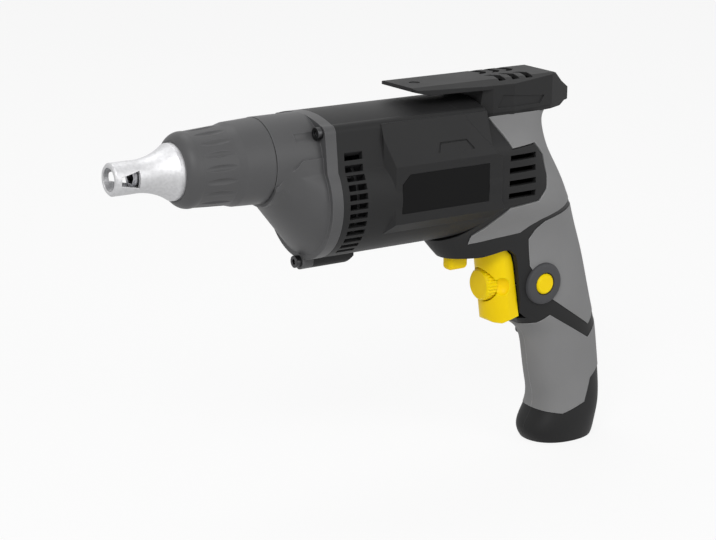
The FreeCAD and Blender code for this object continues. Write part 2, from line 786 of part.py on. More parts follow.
def gear_housing():
    shell = fused([
        prism_x(motor_outline(0), FLANGE_X, FLANGE_REAR_X),
        lug(FLANGE_X, FLANGE_REAR_X),
        gear_case(),
        rod_x(NECK_FRONT_X, FLANGE_X, NECK_RADIUS),
        rod_x(SHOULDER_FRONT_X, NECK_FRONT_X, SHOULDER_RADIUS),
        rod_x(SPIGOT_FRONT_X, SHOULDER_FRONT_X, SPIGOT_RADIUS),
        spigot_keys(KEY_X, SHOULDER_FRONT_X, 0),
    ])
    shell = shell.cut(rod_x(SPIGOT_FRONT_X - OVERRUN, CHAMBER_X, BUSH_RADIUS + FIT_GAP))
    shell = shell.cut(rod_x(CLUTCH_CHAMBER_X, CHAMBER_X, CLUTCH_CHAMBER_RADIUS))
    shell = shell.cut(rod_x(CHAMBER_X, FLANGE_REAR_X + OVERRUN, CHAMBER_RADIUS))
    shell = shell.cut(rod_x(PINION_X - OVERRUN, PLATE_X, PINION_POCKET_RADIUS, 0, MOTOR_Z))
    shell = shell.cut(rod_x(PLATE_X, FLANGE_REAR_X + OVERRUN, PLATE_MOTOR_RADIUS + SEAT_GAP, 0, MOTOR_Z))
    groove_floor = SHOULDER_RADIUS - DETENT_WIRE / 2 - FIT_GAP
    shell = shell.cut(tube_x(*detent_span(FIT_GAP), SHOULDER_RADIUS + OVERRUN, groove_floor))
    for y, z in screw_places():
        shell = shell.cut(rod_x(CASE_TOP_X - OVERRUN, FLANGE_X, POCKET_RADIUS, y, z))
        shell = shell.cut(rod_x(FLANGE_X - OVERRUN, FLANGE_REAR_X + OVERRUN, SHANK_RADIUS + SEAT_GAP, y, z))
    return shell


def flange_screws():
    return Part.makeCompound([screw(FLANGE_X, y, z) for y, z in screw_places()])


def gear_plate():
    end = PLATE_X + PLATE_THICKNESS
    plate = fused([
        rod_x(PLATE_X, end, CHAMBER_RADIUS - SEAT_GAP),
        rod_x(PLATE_X, end, PLATE_MOTOR_RADIUS, 0, MOTOR_Z),
        rod_x(PLATE_X, FRONT_BEARING_X + FRONT_BEARING_WIDTH, FRONT_BEARING_RADIUS + HOLDER_WALL, 0, MOTOR_Z),
    ])
    plate = plate.cut(rod_x(PLATE_X - OVERRUN, end + OVERRUN, HUB_RADIUS + FIT_GAP))
    seat = rod_x(FRONT_BEARING_X, SHAFT_END_X, FRONT_BEARING_RADIUS + FIT_GAP, 0, MOTOR_Z)
    return plate.cut(seat).cut(rod_x(CHAMBER_X, SHAFT_END_X, SHAFT_RADIUS + RUN_GAP, 0, MOTOR_Z))


def bearing(start, width, outer, bore):
    # Ball bearing as one ring with a shield groove on each face
    low = bore + BEARING_RACE
    high = outer - BEARING_RACE
    end = start + width
    return turned([
        (start, bore), (start, low), (start + BEARING_GROOVE, low), (start + BEARING_GROOVE, high),
        (start, high), (start, outer), (end, outer), (end, high), (end - BEARING_GROOVE, high),
        (end - BEARING_GROOVE, low), (end, low), (end, bore),
    ], MOTOR_Z)


def front_bearing():
    return bearing(FRONT_BEARING_X, FRONT_BEARING_WIDTH, FRONT_BEARING_RADIUS, SHAFT_RADIUS + FIT_GAP)


def rear_bearing():
    return bearing(REAR_BEARING_X, REAR_BEARING_WIDTH, REAR_BEARING_RADIUS, REAR_JOURNAL_RADIUS + FIT_GAP)


def bearing_boot():
    # Soft cup between the rear bearing and the handle's web
    inner = REAR_BEARING_RADIUS + FIT_GAP
    end = REAR_BEARING_X + REAR_BEARING_WIDTH
    return tube_x(REAR_BEARING_X, end, BOOT_RADIUS - FIT_GAP, inner, MOTOR_Z)


def spindle_bush():
    return tube_x(BUSH_X, CLUTCH_CHAMBER_X - SEAT_GAP, BUSH_RADIUS, JOURNAL_RADIUS + FIT_GAP)


def spindle_seal():
    return tube_x(SEAL_X, SEAL_X + SEAL_LENGTH, BUSH_RADIUS, JOURNAL_RADIUS + FIT_GAP)


def gear_outline(teeth, centre_z):
    # Stub involute teeth with a tooth centred straight down
    pitch = MODULE * teeth / 2
    tip = pitch + ADDENDUM_SHARE * MODULE
    root = pitch - DEDENDUM_SHARE * MODULE
    angle = math.radians(PRESSURE_ANGLE)
    base = pitch * math.cos(angle)
    half = math.pi / (2 * teeth) - BACKLASH / (2 * pitch) + math.tan(angle) - angle
    low = max(base, root)
    flank = [(root, half - roll(base, low))]
    for share in (0, 0.5, 1):
        radius = low + share * (tip - low)
        flank.append((radius, half - roll(base, radius)))
    tooth = [(r, -a) for r, a in flank] + [(r, a) for r, a in reversed(flank)]
    points = []
    for k in range(teeth):
        middle = 2 * math.pi * k / teeth - math.pi / 2
        points += [(r * math.cos(middle + a), centre_z + r * math.sin(middle + a)) for r, a in tooth]
    return points


def roll(base, radius):
    # Involute angle at a radius
    turn = math.acos(min(1, base / radius))
    return math.tan(turn) - turn


def drive_gear():
    end = GEAR_X + GEAR_FACE
    gear = prism_x(gear_outline(GEAR_TEETH, 0), GEAR_X, end)
    gear = gear.cut(tube_x(end - GEAR_WEB_DEPTH, end + OVERRUN, GEAR_WEB_OUTER, GEAR_WEB_INNER))
    gear = gear.fuse(rod_x(end - GEAR_WEB_DEPTH, HUB_END_X, HUB_RADIUS))
    dogs = [sector(GEAR_X - DOG_HEIGHT, GEAR_X, DOG_INNER, DOG_OUTER, 360 * k / DOG_COUNT, DOG_SWEEP)
            for k in range(DOG_COUNT)]
    gear = fused([gear] + dogs)
    return gear.cut(rod_x(GEAR_X - OVERRUN, HUB_END_X + OVERRUN, TAIL_RADIUS + FIT_GAP))


def clutch_spring():
    start = DISC_X + DISC_THICKNESS + SEAT_GAP
    length = GEAR_X - SEAT_GAP - start
    return coil_spring(SPRING_MEAN_RADIUS, SPRING_WIRE, SPRING_TURNS, length, vec(start, 0, 0), X_AXIS)


def thrust_washer():
    end = DISC_X - SEAT_GAP
    return tube_x(end - WASHER_THICKNESS, end, WASHER_RADIUS, JOURNAL_RADIUS + FIT_GAP)


def spindle():
    disc_end = DISC_X + DISC_THICKNESS
    body = fused([
        rod_x(SPINDLE_FRONT_X, DISC_X, JOURNAL_RADIUS),
        rod_x(DISC_X, disc_end, DISC_RADIUS),
        rod_x(disc_end, TAIL_END_X, TAIL_RADIUS),
    ])
    half_pitch = 180 / DOG_COUNT
    dogs = [sector(disc_end, disc_end + DOG_HEIGHT, DOG_INNER, DOG_OUTER, half_pitch * (2 * k + 1), DOG_SWEEP)
            for k in range(DOG_COUNT)]
    body = fused([body] + dogs)
    socket_end = SPINDLE_FRONT_X + SOCKET_DEPTH
    return body.cut(hex_bar(SPINDLE_FRONT_X - OVERRUN, socket_end, HEX_FLATS + 2 * SEAT_GAP))


def bit_holder():
    lip = HOLDER_LIP
    profile = [
        (HOLDER_FRONT_X, 0), (HOLDER_FRONT_X, HOLDER_RADIUS - lip), (HOLDER_FRONT_X + lip, HOLDER_RADIUS),
        (HOLDER_REAR_X - lip, HOLDER_RADIUS), (HOLDER_REAR_X, HOLDER_RADIUS - lip), (HOLDER_REAR_X, 0),
    ]
    sleeve = turned(profile).fuse(hex_bar(HOLDER_REAR_X, HOLDER_REAR_X + HOLDER_SHANK_LENGTH, HEX_FLATS))
    return sleeve.cut(hex_bar(HOLDER_FRONT_X - OVERRUN, HOLDER_FRONT_X + BIT_DEPTH, BIT_FLATS))


def armature_shaft():
    pinion = prism_x(gear_outline(PINION_TEETH, MOTOR_Z), PINION_X, PINION_X + PINION_FACE)
    return fused([
        pinion,
        rod_x(PINION_X + PINION_FACE, REAR_JOURNAL_X, SHAFT_RADIUS, 0, MOTOR_Z),
        rod_x(REAR_JOURNAL_X, SHAFT_END_X, REAR_JOURNAL_RADIUS, 0, MOTOR_Z),
    ])


def shaft_hole(start, end):
    return rod_x(start - OVERRUN, end + OVERRUN, SHAFT_RADIUS + FIT_GAP, 0, MOTOR_Z)


def armature_core():
    end = CORE_X + CORE_LENGTH
    core = rod_x(CORE_X, end, CORE_RADIUS, 0, MOTOR_Z)
    top = MOTOR_Z + CORE_RADIUS
    half = CORE_SLOT_WIDTH / 2
    slot = block(CORE_X - OVERRUN, end + OVERRUN, -half, half, top - CORE_SLOT_DEPTH, top + OVERRUN)
    core = core.cut(Part.makeCompound(around_x(slot, CORE_SLOTS, MOTOR_Z)))
    return core.cut(shaft_hole(CORE_X, end))


def armature_windings():
    # End turns in front of and behind the core
    bundles = []
    bore = SHAFT_RADIUS + FIT_GAP
    for face, way in ((CORE_X, -1), (CORE_X + CORE_LENGTH, 1)):
        end = face + way * WINDING_OVERHANG
        bundles.append(turned([
            (face, bore), (face, WINDING_RADIUS), (end - way * WINDING_CHAMFER, WINDING_RADIUS),
            (end, WINDING_RADIUS - WINDING_CHAMFER), (end, bore),
        ], MOTOR_Z))
    return Part.makeCompound(bundles)


def commutator():
    end = COMMUTATOR_X + COMMUTATOR_LENGTH
    drum = rod_x(COMMUTATOR_X, end, COMMUTATOR_RADIUS, 0, MOTOR_Z)
    top = MOTOR_Z + COMMUTATOR_RADIUS
    half = COMMUTATOR_SLIT / 2
    slit = block(COMMUTATOR_X - OVERRUN, end + OVERRUN, -half, half, top - COMMUTATOR_SLIT, top + OVERRUN)
    drum = drum.cut(Part.makeCompound(around_x(slit, COMMUTATOR_BARS, MOTOR_Z)))
    return drum.cut(shaft_hole(COMMUTATOR_X, end))


def cooling_fan():
    end = FAN_X + FAN_LENGTH
    parts = [
        rod_x(FAN_X, end, FAN_HUB_RADIUS, 0, MOTOR_Z),
        rod_x(end - FAN_BACK, end, FAN_RADIUS, 0, MOTOR_Z),
    ]
    half = FAN_BLADE_THICKNESS / 2
    blade = block(FAN_X, end - FAN_BACK, -half, half, 0, FAN_RADIUS - FAN_HUB_RADIUS)
    blade.rotate(vec(0, 0, 0), X_AXIS, FAN_LEAN)
    blade.translate(vec(0, 0, MOTOR_Z + FAN_HUB_RADIUS - FAN_BLADE_THICKNESS))
    fan = fused(parts + around_x(blade, FAN_BLADES, MOTOR_Z))
    return fan.cut(shaft_hole(FAN_X, end))


def field_core():
    end = CORE_X + CORE_LENGTH
    yoke = FIELD_RADIUS - FIELD_YOKE
    bore = CORE_RADIUS + FIELD_GAP
    ring = tube_x(CORE_X, end, FIELD_RADIUS, yoke, MOTOR_Z)
    poles = [sector(CORE_X, end, bore, yoke + SEAT_GAP, middle, POLE_SWEEP / 2, MOTOR_Z)
             for middle in (90, -90)]
    shoes = [sector(CORE_X, end, bore, bore + FIELD_YOKE / 2, middle, POLE_SWEEP, MOTOR_Z)
             for middle in (90, -90)]
    return fused([ring] + poles + shoes)


def field_coils():
    # One saddle coil round each pole: side bars in the slots joined by end turns
    start = CORE_X - COIL_OVERHANG
    end = CORE_X + CORE_LENGTH + COIL_OVERHANG
    inner = CORE_RADIUS + FIELD_GAP + FIELD_YOKE / 2 + COIL_GAP
    outer = FIELD_RADIUS - FIELD_YOKE - COIL_GAP
    offset = POLE_SWEEP / 4 + COIL_SWEEP / 2 + math.degrees(COIL_GAP / inner)
    coils = []
    for middle in (90, -90):
        bars = [sector(start, end, inner, outer, middle + way * offset, COIL_SWEEP, MOTOR_Z)
                for way in (-1, 1)]
        turns = [sector(a, b, inner, outer, middle, 2 * offset + COIL_SWEEP, MOTOR_Z)
                 for a, b in ((start, CORE_X - COIL_GAP), (CORE_X + CORE_LENGTH + COIL_GAP, end))]
        coils.append(fused(bars + turns))
    return Part.makeCompound(coils)


def fan_baffle():
    return tube_x(BAFFLE_X, BAFFLE_X + BAFFLE_THICKNESS, FIELD_RADIUS, BAFFLE_BORE, MOTOR_Z)


def brush_box(grow, near, far):
    half_x = BRUSH_WIDTH / 2 + grow
    half_z = BRUSH_HEIGHT / 2 + grow
    return block(BRUSH_X - half_x, BRUSH_X + half_x, near, far, MOTOR_Z - half_z, MOTOR_Z + half_z)


def brush_far():
    # Where the holder's corners come within the running gap of the housing's bore
    half = BRUSH_HEIGHT / 2 + HOLDER_WALL
    return math.sqrt((MOTOR_RADIUS - SHELL_WALL) ** 2 - half ** 2) - RUN_GAP


def brush_holder():
    far = brush_far()
    holder = brush_box(HOLDER_WALL, HOLDER_START, far)
    return holder.cut(brush_box(SEAT_GAP, HOLDER_START - OVERRUN, far - HOLDER_WALL))


def carbon_brush():
    near = COMMUTATOR_RADIUS + RUN_GAP
    return brush_box(0, near, near + BRUSH_LENGTH)


def brush_spring():
    start = COMMUTATOR_RADIUS + RUN_GAP + BRUSH_LENGTH + SEAT_GAP
    far = brush_far() - HOLDER_WALL - SEAT_GAP
    base = vec(BRUSH_X, start, MOTOR_Z)
    return coil_spring(BRUSH_SPRING_RADIUS, BRUSH_SPRING_WIRE, BRUSH_SPRING_TURNS, far - start, base, Y_AXIS)


def both_sides(shape):
    return Part.makeCompound([shape, mirrored(shape)])


def front_vents():
    slots = []
    for k in range(VENT_COUNT):
        turn = VENT_FIRST + (VENT_LAST - VENT_FIRST) * k / (VENT_COUNT - 1)
        slot = block(VENT_X, VENT_X + VENT_LENGTH, FAN_RADIUS, VENT_REACH, -VENT_HEIGHT / 2, VENT_HEIGHT / 2)
        slot.rotate(vec(0, 0, 0), X_AXIS, turn)
        slot.translate(vec(0, 0, MOTOR_Z))
        slots += [slot, mirrored(slot)]
    return Part.makeCompound(slots)


def emboss_line():
    # Shallow moulded outline on the leaning panel face, open at the bottom
    outer = [
        (EMBOSS_X, EMBOSS_Z), (EMBOSS_X + EMBOSS_SLANT / 2, EMBOSS_Z + EMBOSS_HEIGHT),
        (EMBOSS_X + EMBOSS_LENGTH - EMBOSS_SLANT, EMBOSS_Z + EMBOSS_HEIGHT),
        (EMBOSS_X + EMBOSS_LENGTH, EMBOSS_Z),
    ]
    inner = [
        (EMBOSS_X + EMBOSS_LINE, EMBOSS_Z - OVERRUN),
        (EMBOSS_X + EMBOSS_SLANT / 2 + EMBOSS_LINE, EMBOSS_Z + EMBOSS_HEIGHT - EMBOSS_LINE),
        (EMBOSS_X + EMBOSS_LENGTH - EMBOSS_SLANT - EMBOSS_LINE, EMBOSS_Z + EMBOSS_HEIGHT - EMBOSS_LINE),
        (EMBOSS_X + EMBOSS_LENGTH - EMBOSS_LINE, EMBOSS_Z - OVERRUN),
    ]
    line = prism_y(outer, 0, PANEL_HALF).cut(prism_y(inner, -OVERRUN, PANEL_HALF + OVERRUN))
    lean = (PANEL_HALF - RIDGE_HALF) / (PANEL_TOP - PANEL_CREASE)
    low = PANEL_HALF - EMBOSS_DEPTH - lean * (level(0) - PANEL_CREASE)
    high = PANEL_HALF - EMBOSS_DEPTH
    far = PANEL_HALF + OVERRUN
    skin = [(low, level(0)), (high, PANEL_CREASE), (far, PANEL_CREASE), (far, level(0))]
    return line.common(prism_x(skin, EMBOSS_X - OVERRUN, EMBOSS_X + EMBOSS_LENGTH + OVERRUN))


def label_outline(grow):
    left = LABEL_X - grow
    right = LABEL_X + LABEL_LENGTH + grow
    top = LABEL_TOP + grow
    low = LABEL_TOP - LABEL_HEIGHT - grow
    return [(left, low), (right, low), (right, top), (left + LABEL_CHAMFER, top), (left, top - LABEL_CHAMFER)]


def label_plate():
    face = PANEL_HALF - LABEL_SINK
    return prism_y(label_outline(0), -face - LABEL_THICKNESS, -face)


def motor_housing():
    end = reach(max(along for along, drop in SEAM_SHARES)) + OVERRUN
    panel = side_panel()
    shell = fused([
        prism_x(motor_outline(0), FLANGE_REAR_X, end),
        panel,
        mirrored(panel),
        lug(FLANGE_REAR_X, FLANGE_REAR_X + LUG_LENGTH),
    ])
    shell = shell.common(wide_prism(SEAM_SHARES))
    bore = prism_x(motor_outline(SHELL_WALL), FLANGE_REAR_X - OVERRUN, end + OVERRUN)
    for y, z in screw_places()[:2]:
        bore = bore.cut(rod_x(FLANGE_REAR_X, FLANGE_REAR_X + BOSS_LENGTH, BOSS_RADIUS, y, z))
    shell = shell.cut(bore)
    shell = shell.cut(front_vents())
    line = emboss_line()
    shell = shell.cut(Part.makeCompound([line, mirrored(line)]))
    shell = shell.cut(prism_y(label_outline(SEAT_GAP), -PANEL_HALF - OVERRUN, -PANEL_HALF + LABEL_SINK))
    for y, z in screw_places():
        shank_end = FLANGE_X + SHANK_LENGTH + SEAT_GAP
        shell = shell.cut(rod_x(FLANGE_REAR_X - OVERRUN, shank_end, SHANK_RADIUS + SEAT_GAP, y, z))
    low = -LUG_DROP - LUG_RADIUS
    rear = FLANGE_REAR_X + LUG_LENGTH
    slope = [(rear - LUG_SLOPE, low), (rear, low + LUG_SLOPE), (rear + OVERRUN, low), (rear, low - OVERRUN)]
    return shell.cut(prism_y(slope, -LUG_RADIUS, LUG_RADIUS))


def power(value, exponent):
    return math.copysign(abs(value) ** exponent, value)


def handle_section(row, inset):
    # Level slice of the handle: two half ovals of their own squareness that meet at the widest point
    drop, front, back, width, front_square, back_square = row
    nose = reach(front) + inset
    heel = reach(back) - inset
    half = width * HANDLE_HALF - inset
    middle = (nose + heel) / 2
    points = []
    for k in range(SECTION_POINTS):
        turn = 2 * math.pi * (k + 0.5) / SECTION_POINTS
        square = back_square if math.cos(turn) > 0 else front_square
        along = power(math.cos(turn), 2 / square) * (heel - nose) / 2
        points.append(vec(middle + along, power(math.sin(turn), 2 / square) * half, level(drop)))
    curve = Part.BSplineCurve()
    curve.interpolate(Points=points, PeriodicFlag=True)
    return Part.Wire(curve.toShape())


def handle_form(inset):
    return Part.makeLoft([handle_section(row, inset) for row in HANDLE_STATION_SHARES], True, False)


def shoulder_form(inset):
    # Motor section carried on behind the seam as far as the rear cover
    panel = side_panel()
    start = HANDLE_X - OVERRUN
    body = prism_x(motor_outline(inset), start, SHOULDER_END_X)
    if inset:
        return body
    slab = block(start, SHOULDER_END_X, -PANEL_HALF, PANEL_HALF, PANEL_CREASE, CROWN_HEIGHT)
    return fused([body, panel.common(slab), mirrored(panel).common(slab)])


def below_top(shape, top, low):
    wide = HANDLE_HALF + OVERRUN
    return shape.common(block(HANDLE_X - HANDLE_REACH, reach(1) + HANDLE_REACH, -wide, wide, low, top))


def handle_cavity():
    inner = below_top(handle_form(HANDLE_WALL), HANDLE_TOP - DECK_WALL, butt() + BUTT_WALL)
    floor = prism_y([(x, z + BAY_FLOOR) for x, z in handle_points(BAY_SHARES)], -HANDLE_HALF, HANDLE_HALF)
    inner = inner.cut(floor)
    half = TRIGGER_HALF + RUN_GAP
    tunnel = prism_y(handle_points(TRIGGER_TUNNEL_SHARES), -half, half)
    return inner.fuse(tunnel)


def handle_body():
    solid = below_top(handle_form(0), HANDLE_TOP, butt())
    shoulder = shoulder_form(0)
    keep = block(HANDLE_X - HANDLE_REACH, SHOULDER_END_X, -PANEL_HALF, PANEL_HALF, PANEL_CREASE, CROWN_HEIGHT)
    solid = solid.fuse(shoulder.common(keep))
    solid = solid.cut(wide_prism(SEAM_SHARES))
    return solid.cut(wide_prism(BAY_SHARES))


def panel_skin():
    # Everything under the soft panels' outlines and outside the depth that the rubber fills
    palm = wide_prism(PALM_PANEL_SHARES).cut(button_rod(-HANDLE_HALF - OVERRUN, 0, RING_RADIUS + SEAT_GAP))
    panels = wide_prism(TANG_PANEL_SHARES).fuse(palm).fuse(wide_prism(LOWER_PANEL_SHARES))
    return panels.cut(handle_form(RUBBER_DEPTH))


def rubber_grip(skin):
    rubber = below_top(skin.common(handle_form(-RUBBER_PROUD)), HANDLE_TOP, butt())
    counterbores = [rod_y(0, HANDLE_HALF + OVERRUN, POST_HEAD_RADIUS + SEAT_GAP, x, z)
                    for x, z in handle_points(POST_SHARES)]
    return rubber.cut([wide_prism(BAY_SHARES), wide_prism(SEAM_SHARES)] + counterbores)


def half_space(way):
    # Everything on the left (-1) or right (1) of the parting plane
    far = HANDLE_HALF + OVERRUN
    near = -far if way < 0 else 0
    return block(0, reach(1) + HANDLE_REACH, near, near + far, butt() - OVERRUN, CROWN_HEIGHT + OVERRUN)


def button_rod(start, end, radius):
    return rod_y(start, end, radius, reach(BUTTON_REACH_SHARE), level(BUTTON_DROP_SHARE))


def about_button(profile):
    # Pairs are the distance to the left of the parting plane and the radius about the button's axis
    x = reach(BUTTON_REACH_SHARE)
    z = level(BUTTON_DROP_SHARE)
    return face_of(profile, lambda y, r: vec(x + r, -y, z)).revolve(vec(x, 0, z), Y_AXIS, 360)


def handle_vents():
    start = reach(HANDLE_VENT_REACH_SHARE)
    near = WEB_WINDOW_OUTER - OVERRUN
    slots = []
    for k in range(HANDLE_VENT_COUNT):
        middle = level(HANDLE_VENT_DROP_SHARE) - k * HANDLE_VENT_PITCH
        half = HANDLE_VENT_HEIGHT / 2
        slots.append(block(start, start + HANDLE_VENT_LENGTH, near, HANDLE_HALF + OVERRUN,
                           middle - half, middle + half))
    return slots + [mirrored(slot) for slot in slots]


def bearing_web():
    # Wall across the handle that carries the rear bearing, with air windows
    end = BEARING_WEB_X + BEARING_WEB_WIDTH
    wall = block(BEARING_WEB_X, end, -HANDLE_HALF, HANDLE_HALF, MOTOR_Z - WEB_REACH, MOTOR_Z + WEB_REACH)
    wall = wall.cut(rod_x(BEARING_WEB_X - OVERRUN, end + OVERRUN, BOOT_RADIUS, 0, MOTOR_Z))
    windows = [sector(BEARING_WEB_X - OVERRUN, end + OVERRUN, WEB_WINDOW_INNER, WEB_WINDOW_OUTER,
                      angle, WEB_WINDOW_SWEEP, MOTOR_Z) for angle in (0, 180)]
    return wall.cut(Part.makeCompound(windows))


def handle_openings():
    # Vents, lever slot, pivot hole, cord hole and every screw hole
    slot_half = lever_reach() * math.sin(math.radians(LEVER_SWING)) + LEVER_TAB_HALF + LEVER_SLOT_GAP
    start = reach(LEVER_TAB_REACH_SHARE) - LEVER_SLOT_GAP
    end = reach(LEVER_TAB_REACH_SHARE) + LEVER_TAB_LENGTH + LEVER_SLOT_GAP
    floor = level(BAY_TOP_SHARE)
    ceiling = level(LEVER_PLATE_DROP_SHARE)
    pivot = reach(LEVER_PIVOT_REACH_SHARE)
    gland = reach(GLAND_REACH_SHARE)
    cuts = handle_vents() + [
        block(start, end, -slot_half, slot_half, floor - OVERRUN, ceiling),
        rod_z(floor - OVERRUN, ceiling, LEVER_PIN_RADIUS + FIT_GAP, pivot, 0),
        rod_z(butt() - OVERRUN, butt() + BUTT_WALL + OVERRUN, GLAND_RADIUS + SEAT_GAP, gland, 0),
    ]
    for x, z in handle_points(POST_SHARES):
        shank_end = POST_HEAD_FACE - POST_SHANK_LENGTH - SEAT_GAP
        cuts.append(rod_y(POST_HEAD_FACE, HANDLE_HALF + OVERRUN, POST_HEAD_RADIUS + SEAT_GAP, x, z))
        cuts.append(rod_y(shank_end, POST_HEAD_FACE + OVERRUN, SHANK_RADIUS + SEAT_GAP, x, z))
    for x in hook_screw_places():
        under = HANDLE_TOP - DECK_WALL - OVERRUN
        cuts.append(rod_z(under, HANDLE_TOP + OVERRUN, SHANK_RADIUS + SEAT_GAP, x, 0))
    return cuts


def handle_shell(skin):
    # Both halves together: walls, bearing web, posts and every opening
    posts = [rod_y(-HANDLE_HALF, HANDLE_HALF, POST_RADIUS, x, z) for x, z in handle_points(POST_SHARES)]
    cavity = handle_cavity().fuse(shoulder_form(SHELL_WALL)).cut([bearing_web()] + posts)
    return handle_body().cut(cavity).cut([skin] + handle_openings())


def lever_reach():
    return reach(LEVER_PIVOT_REACH_SHARE) - reach(LEVER_TAB_REACH_SHARE)


def clamp_places():
    middle = reach(CLAMP_REACH_SHARE)
    return [middle - CLAMP_SCREW_PITCH / 2, middle + CLAMP_SCREW_PITCH / 2]


def handle_left(shell):
    half = shell.common(half_space(-1))
    half = half.fuse(about_button([
        (RING_ROOT, 0), (RING_ROOT, RING_RADIUS), (RING_FACE - RING_BEVEL, RING_RADIUS),
        (RING_FACE, RING_RADIUS - RING_BEVEL), (RING_FACE, 0),
    ]))
    z = level(CLAMP_DROP_SHARE)
    inside = below_top(handle_form(HANDLE_WALL - SEAT_GAP), HANDLE_TOP, butt())
    for x in clamp_places():
        post = rod_y(-HANDLE_HALF, CLAMP_SADDLE_RADIUS, CLAMP_PAD_RADIUS, x, z).common(inside)
        half = half.fuse(post)
        hole_end = CLAMP_SADDLE_RADIUS - CLAMP_SHANK_LENGTH - SEAT_GAP
        half = half.cut(rod_y(hole_end, CLAMP_SADDLE_RADIUS + OVERRUN, CLAMP_SHANK_RADIUS + SEAT_GAP, x, z))
    half = half.cut(button_rod(-RING_FACE - OVERRUN, 0, BUTTON_RADIUS + RUN_GAP))
    return half.cut(button_rod(-RING_ROOT, 0, BUTTON_FLANGE_RADIUS + RUN_GAP))


def handle_right(shell):
    return shell.common(half_space(1))


def handle_screws():
    screws = []
    for x, z in handle_points(POST_SHARES):
        top = POST_HEAD_FACE + POST_HEAD_LENGTH
        head = rod_y(POST_HEAD_FACE, top, POST_HEAD_RADIUS, x, z)
        drive = rod_y(top - HEAD_DRIVE_DEPTH, top, HEAD_DRIVE_RADIUS, x, z)
        shank = rod_y(POST_HEAD_FACE - POST_SHANK_LENGTH, POST_HEAD_FACE, SHANK_RADIUS, x, z)
        screws.append(head.fuse(shank).cut(drive))
    return Part.makeCompound(screws)


def trigger():
    side = prism_y(handle_points(TRIGGER_SHARES), -TRIGGER_HALF, TRIGGER_HALF)
    top = level(min(drop for along, drop in TRIGGER_SHARES)) + OVERRUN
    front = reach(TRIGGER_FRONT_SHARE)
    shoulder = front + TRIGGER_FRONT_ROUND
    plan = [
        (PLUNGER_END_X, -TRIGGER_HALF), (PLUNGER_END_X, TRIGGER_HALF), (shoulder, TRIGGER_HALF),
        (front, 0, shoulder, -TRIGGER_HALF),
    ]
    lean = vec(TRIGGER_LEAN, 0, -TRIGGER_HEIGHT)
    rounded = face_of(plan, lambda x, y: vec(x, y, top)).extrude(lean)
    body = side.common(rounded)
    z = level(DIAL_DROP_SHARE)
    body = fused([
        body,
        rod_x(TRIGGER_SEAT_X - TRIGGER_SEAT_DEPTH, TRIGGER_SEAT_X, TRIGGER_SEAT_RADIUS, 0, z),
        rod_x(TRIGGER_SEAT_X, PLUNGER_END_X, PLUNGER_RADIUS, 0, z),
    ])
    rear = DIAL_FACE_X + DIAL_THICKNESS + RUN_GAP
    body = body.cut(rod_x(DIAL_FACE_X - DIAL_THICKNESS, rear, DIAL_RADIUS + DIAL_MARGIN, 0, z))
    scoop = Part.makeSphere(SCOOP_RADIUS, vec(rear, SCOOP_HALF, z))
    body = body.cut([scoop, mirrored(scoop)])
    return body.cut(rod_x(rear - OVERRUN, rear + DIAL_STEM_LENGTH, DIAL_STEM_RADIUS + FIT_GAP, 0, z))


def speed_dial():
    z = level(DIAL_DROP_SHARE)
    end = DIAL_FACE_X + DIAL_THICKNESS
    knob = turned([
        (DIAL_FACE_X, 0), (DIAL_FACE_X, DIAL_RADIUS - DIAL_EDGE), (DIAL_FACE_X + DIAL_EDGE, DIAL_RADIUS),
        (end, DIAL_RADIUS), (end, DIAL_STEM_RADIUS), (end + DIAL_STEM_LENGTH, DIAL_STEM_RADIUS),
        (end + DIAL_STEM_LENGTH, 0),
    ], z)
    rim = z + DIAL_RADIUS + DIAL_RIDGE_DEPTH / 2
    wide = 1.5 * DIAL_RIDGE_DEPTH
    notch = prism_x([(0, rim - wide), (wide, rim), (-wide, rim)], DIAL_FACE_X, end)
    return knob.cut(Part.makeCompound(around_x(notch, DIAL_RIDGES, z)))


def trigger_spring():
    start = TRIGGER_SEAT_X + SEAT_GAP
    base = vec(start, 0, level(DIAL_DROP_SHARE))
    length = SWITCH_X - SEAT_GAP - start
    return coil_spring(TRIGGER_SPRING_RADIUS, TRIGGER_SPRING_WIRE, TRIGGER_SPRING_TURNS, length, base, X_AXIS)


def reverse_lever():
    pivot = reach(LEVER_PIVOT_REACH_SHARE)
    start = reach(LEVER_TAB_REACH_SHARE)
    top = level(LEVER_PLATE_DROP_SHARE)
    low = top - LEVER_PLATE_THICKNESS
    plate = block(start, pivot, -LEVER_PLATE_HALF, LEVER_PLATE_HALF, low, top)
    eye = rod_z(low, top, LEVER_EYE_RADIUS, pivot, 0)
    tab = block(start, start + LEVER_TAB_LENGTH, -LEVER_TAB_HALF, LEVER_TAB_HALF, low - LEVER_TAB_HEIGHT, low)
    rounded = [edge for edge in tab.Edges if edge.BoundBox.ZMin < low - LEVER_TAB_ROUND]
    tab = tab.makeFillet(LEVER_TAB_ROUND, rounded)
    lever = fused([plate, eye, tab])
    return lever.cut(rod_z(low - OVERRUN, top + OVERRUN, LEVER_PIN_RADIUS + FIT_GAP, pivot, 0))


def lever_pin():
    end = level(LEVER_PLATE_DROP_SHARE) + LEVER_PIN_LENGTH
    return rod_z(level(LEVER_PIN_DROP_SHARE), end, LEVER_PIN_RADIUS, reach(LEVER_PIVOT_REACH_SHARE), 0)


def lock_button():
    crown = BUTTON_RADIUS - BUTTON_DOME
    inner = BUTTON_FLANGE_FACE - BUTTON_FLANGE_THICKNESS
    profile = [
        (BUTTON_FACE, 0), (BUTTON_FACE, crown), (BUTTON_FACE - BUTTON_DOME, BUTTON_RADIUS),
        (BUTTON_FLANGE_FACE, BUTTON_RADIUS), (BUTTON_FLANGE_FACE, BUTTON_FLANGE_RADIUS),
        (inner, BUTTON_FLANGE_RADIUS), (inner, 0),
    ]
    return about_button(profile)


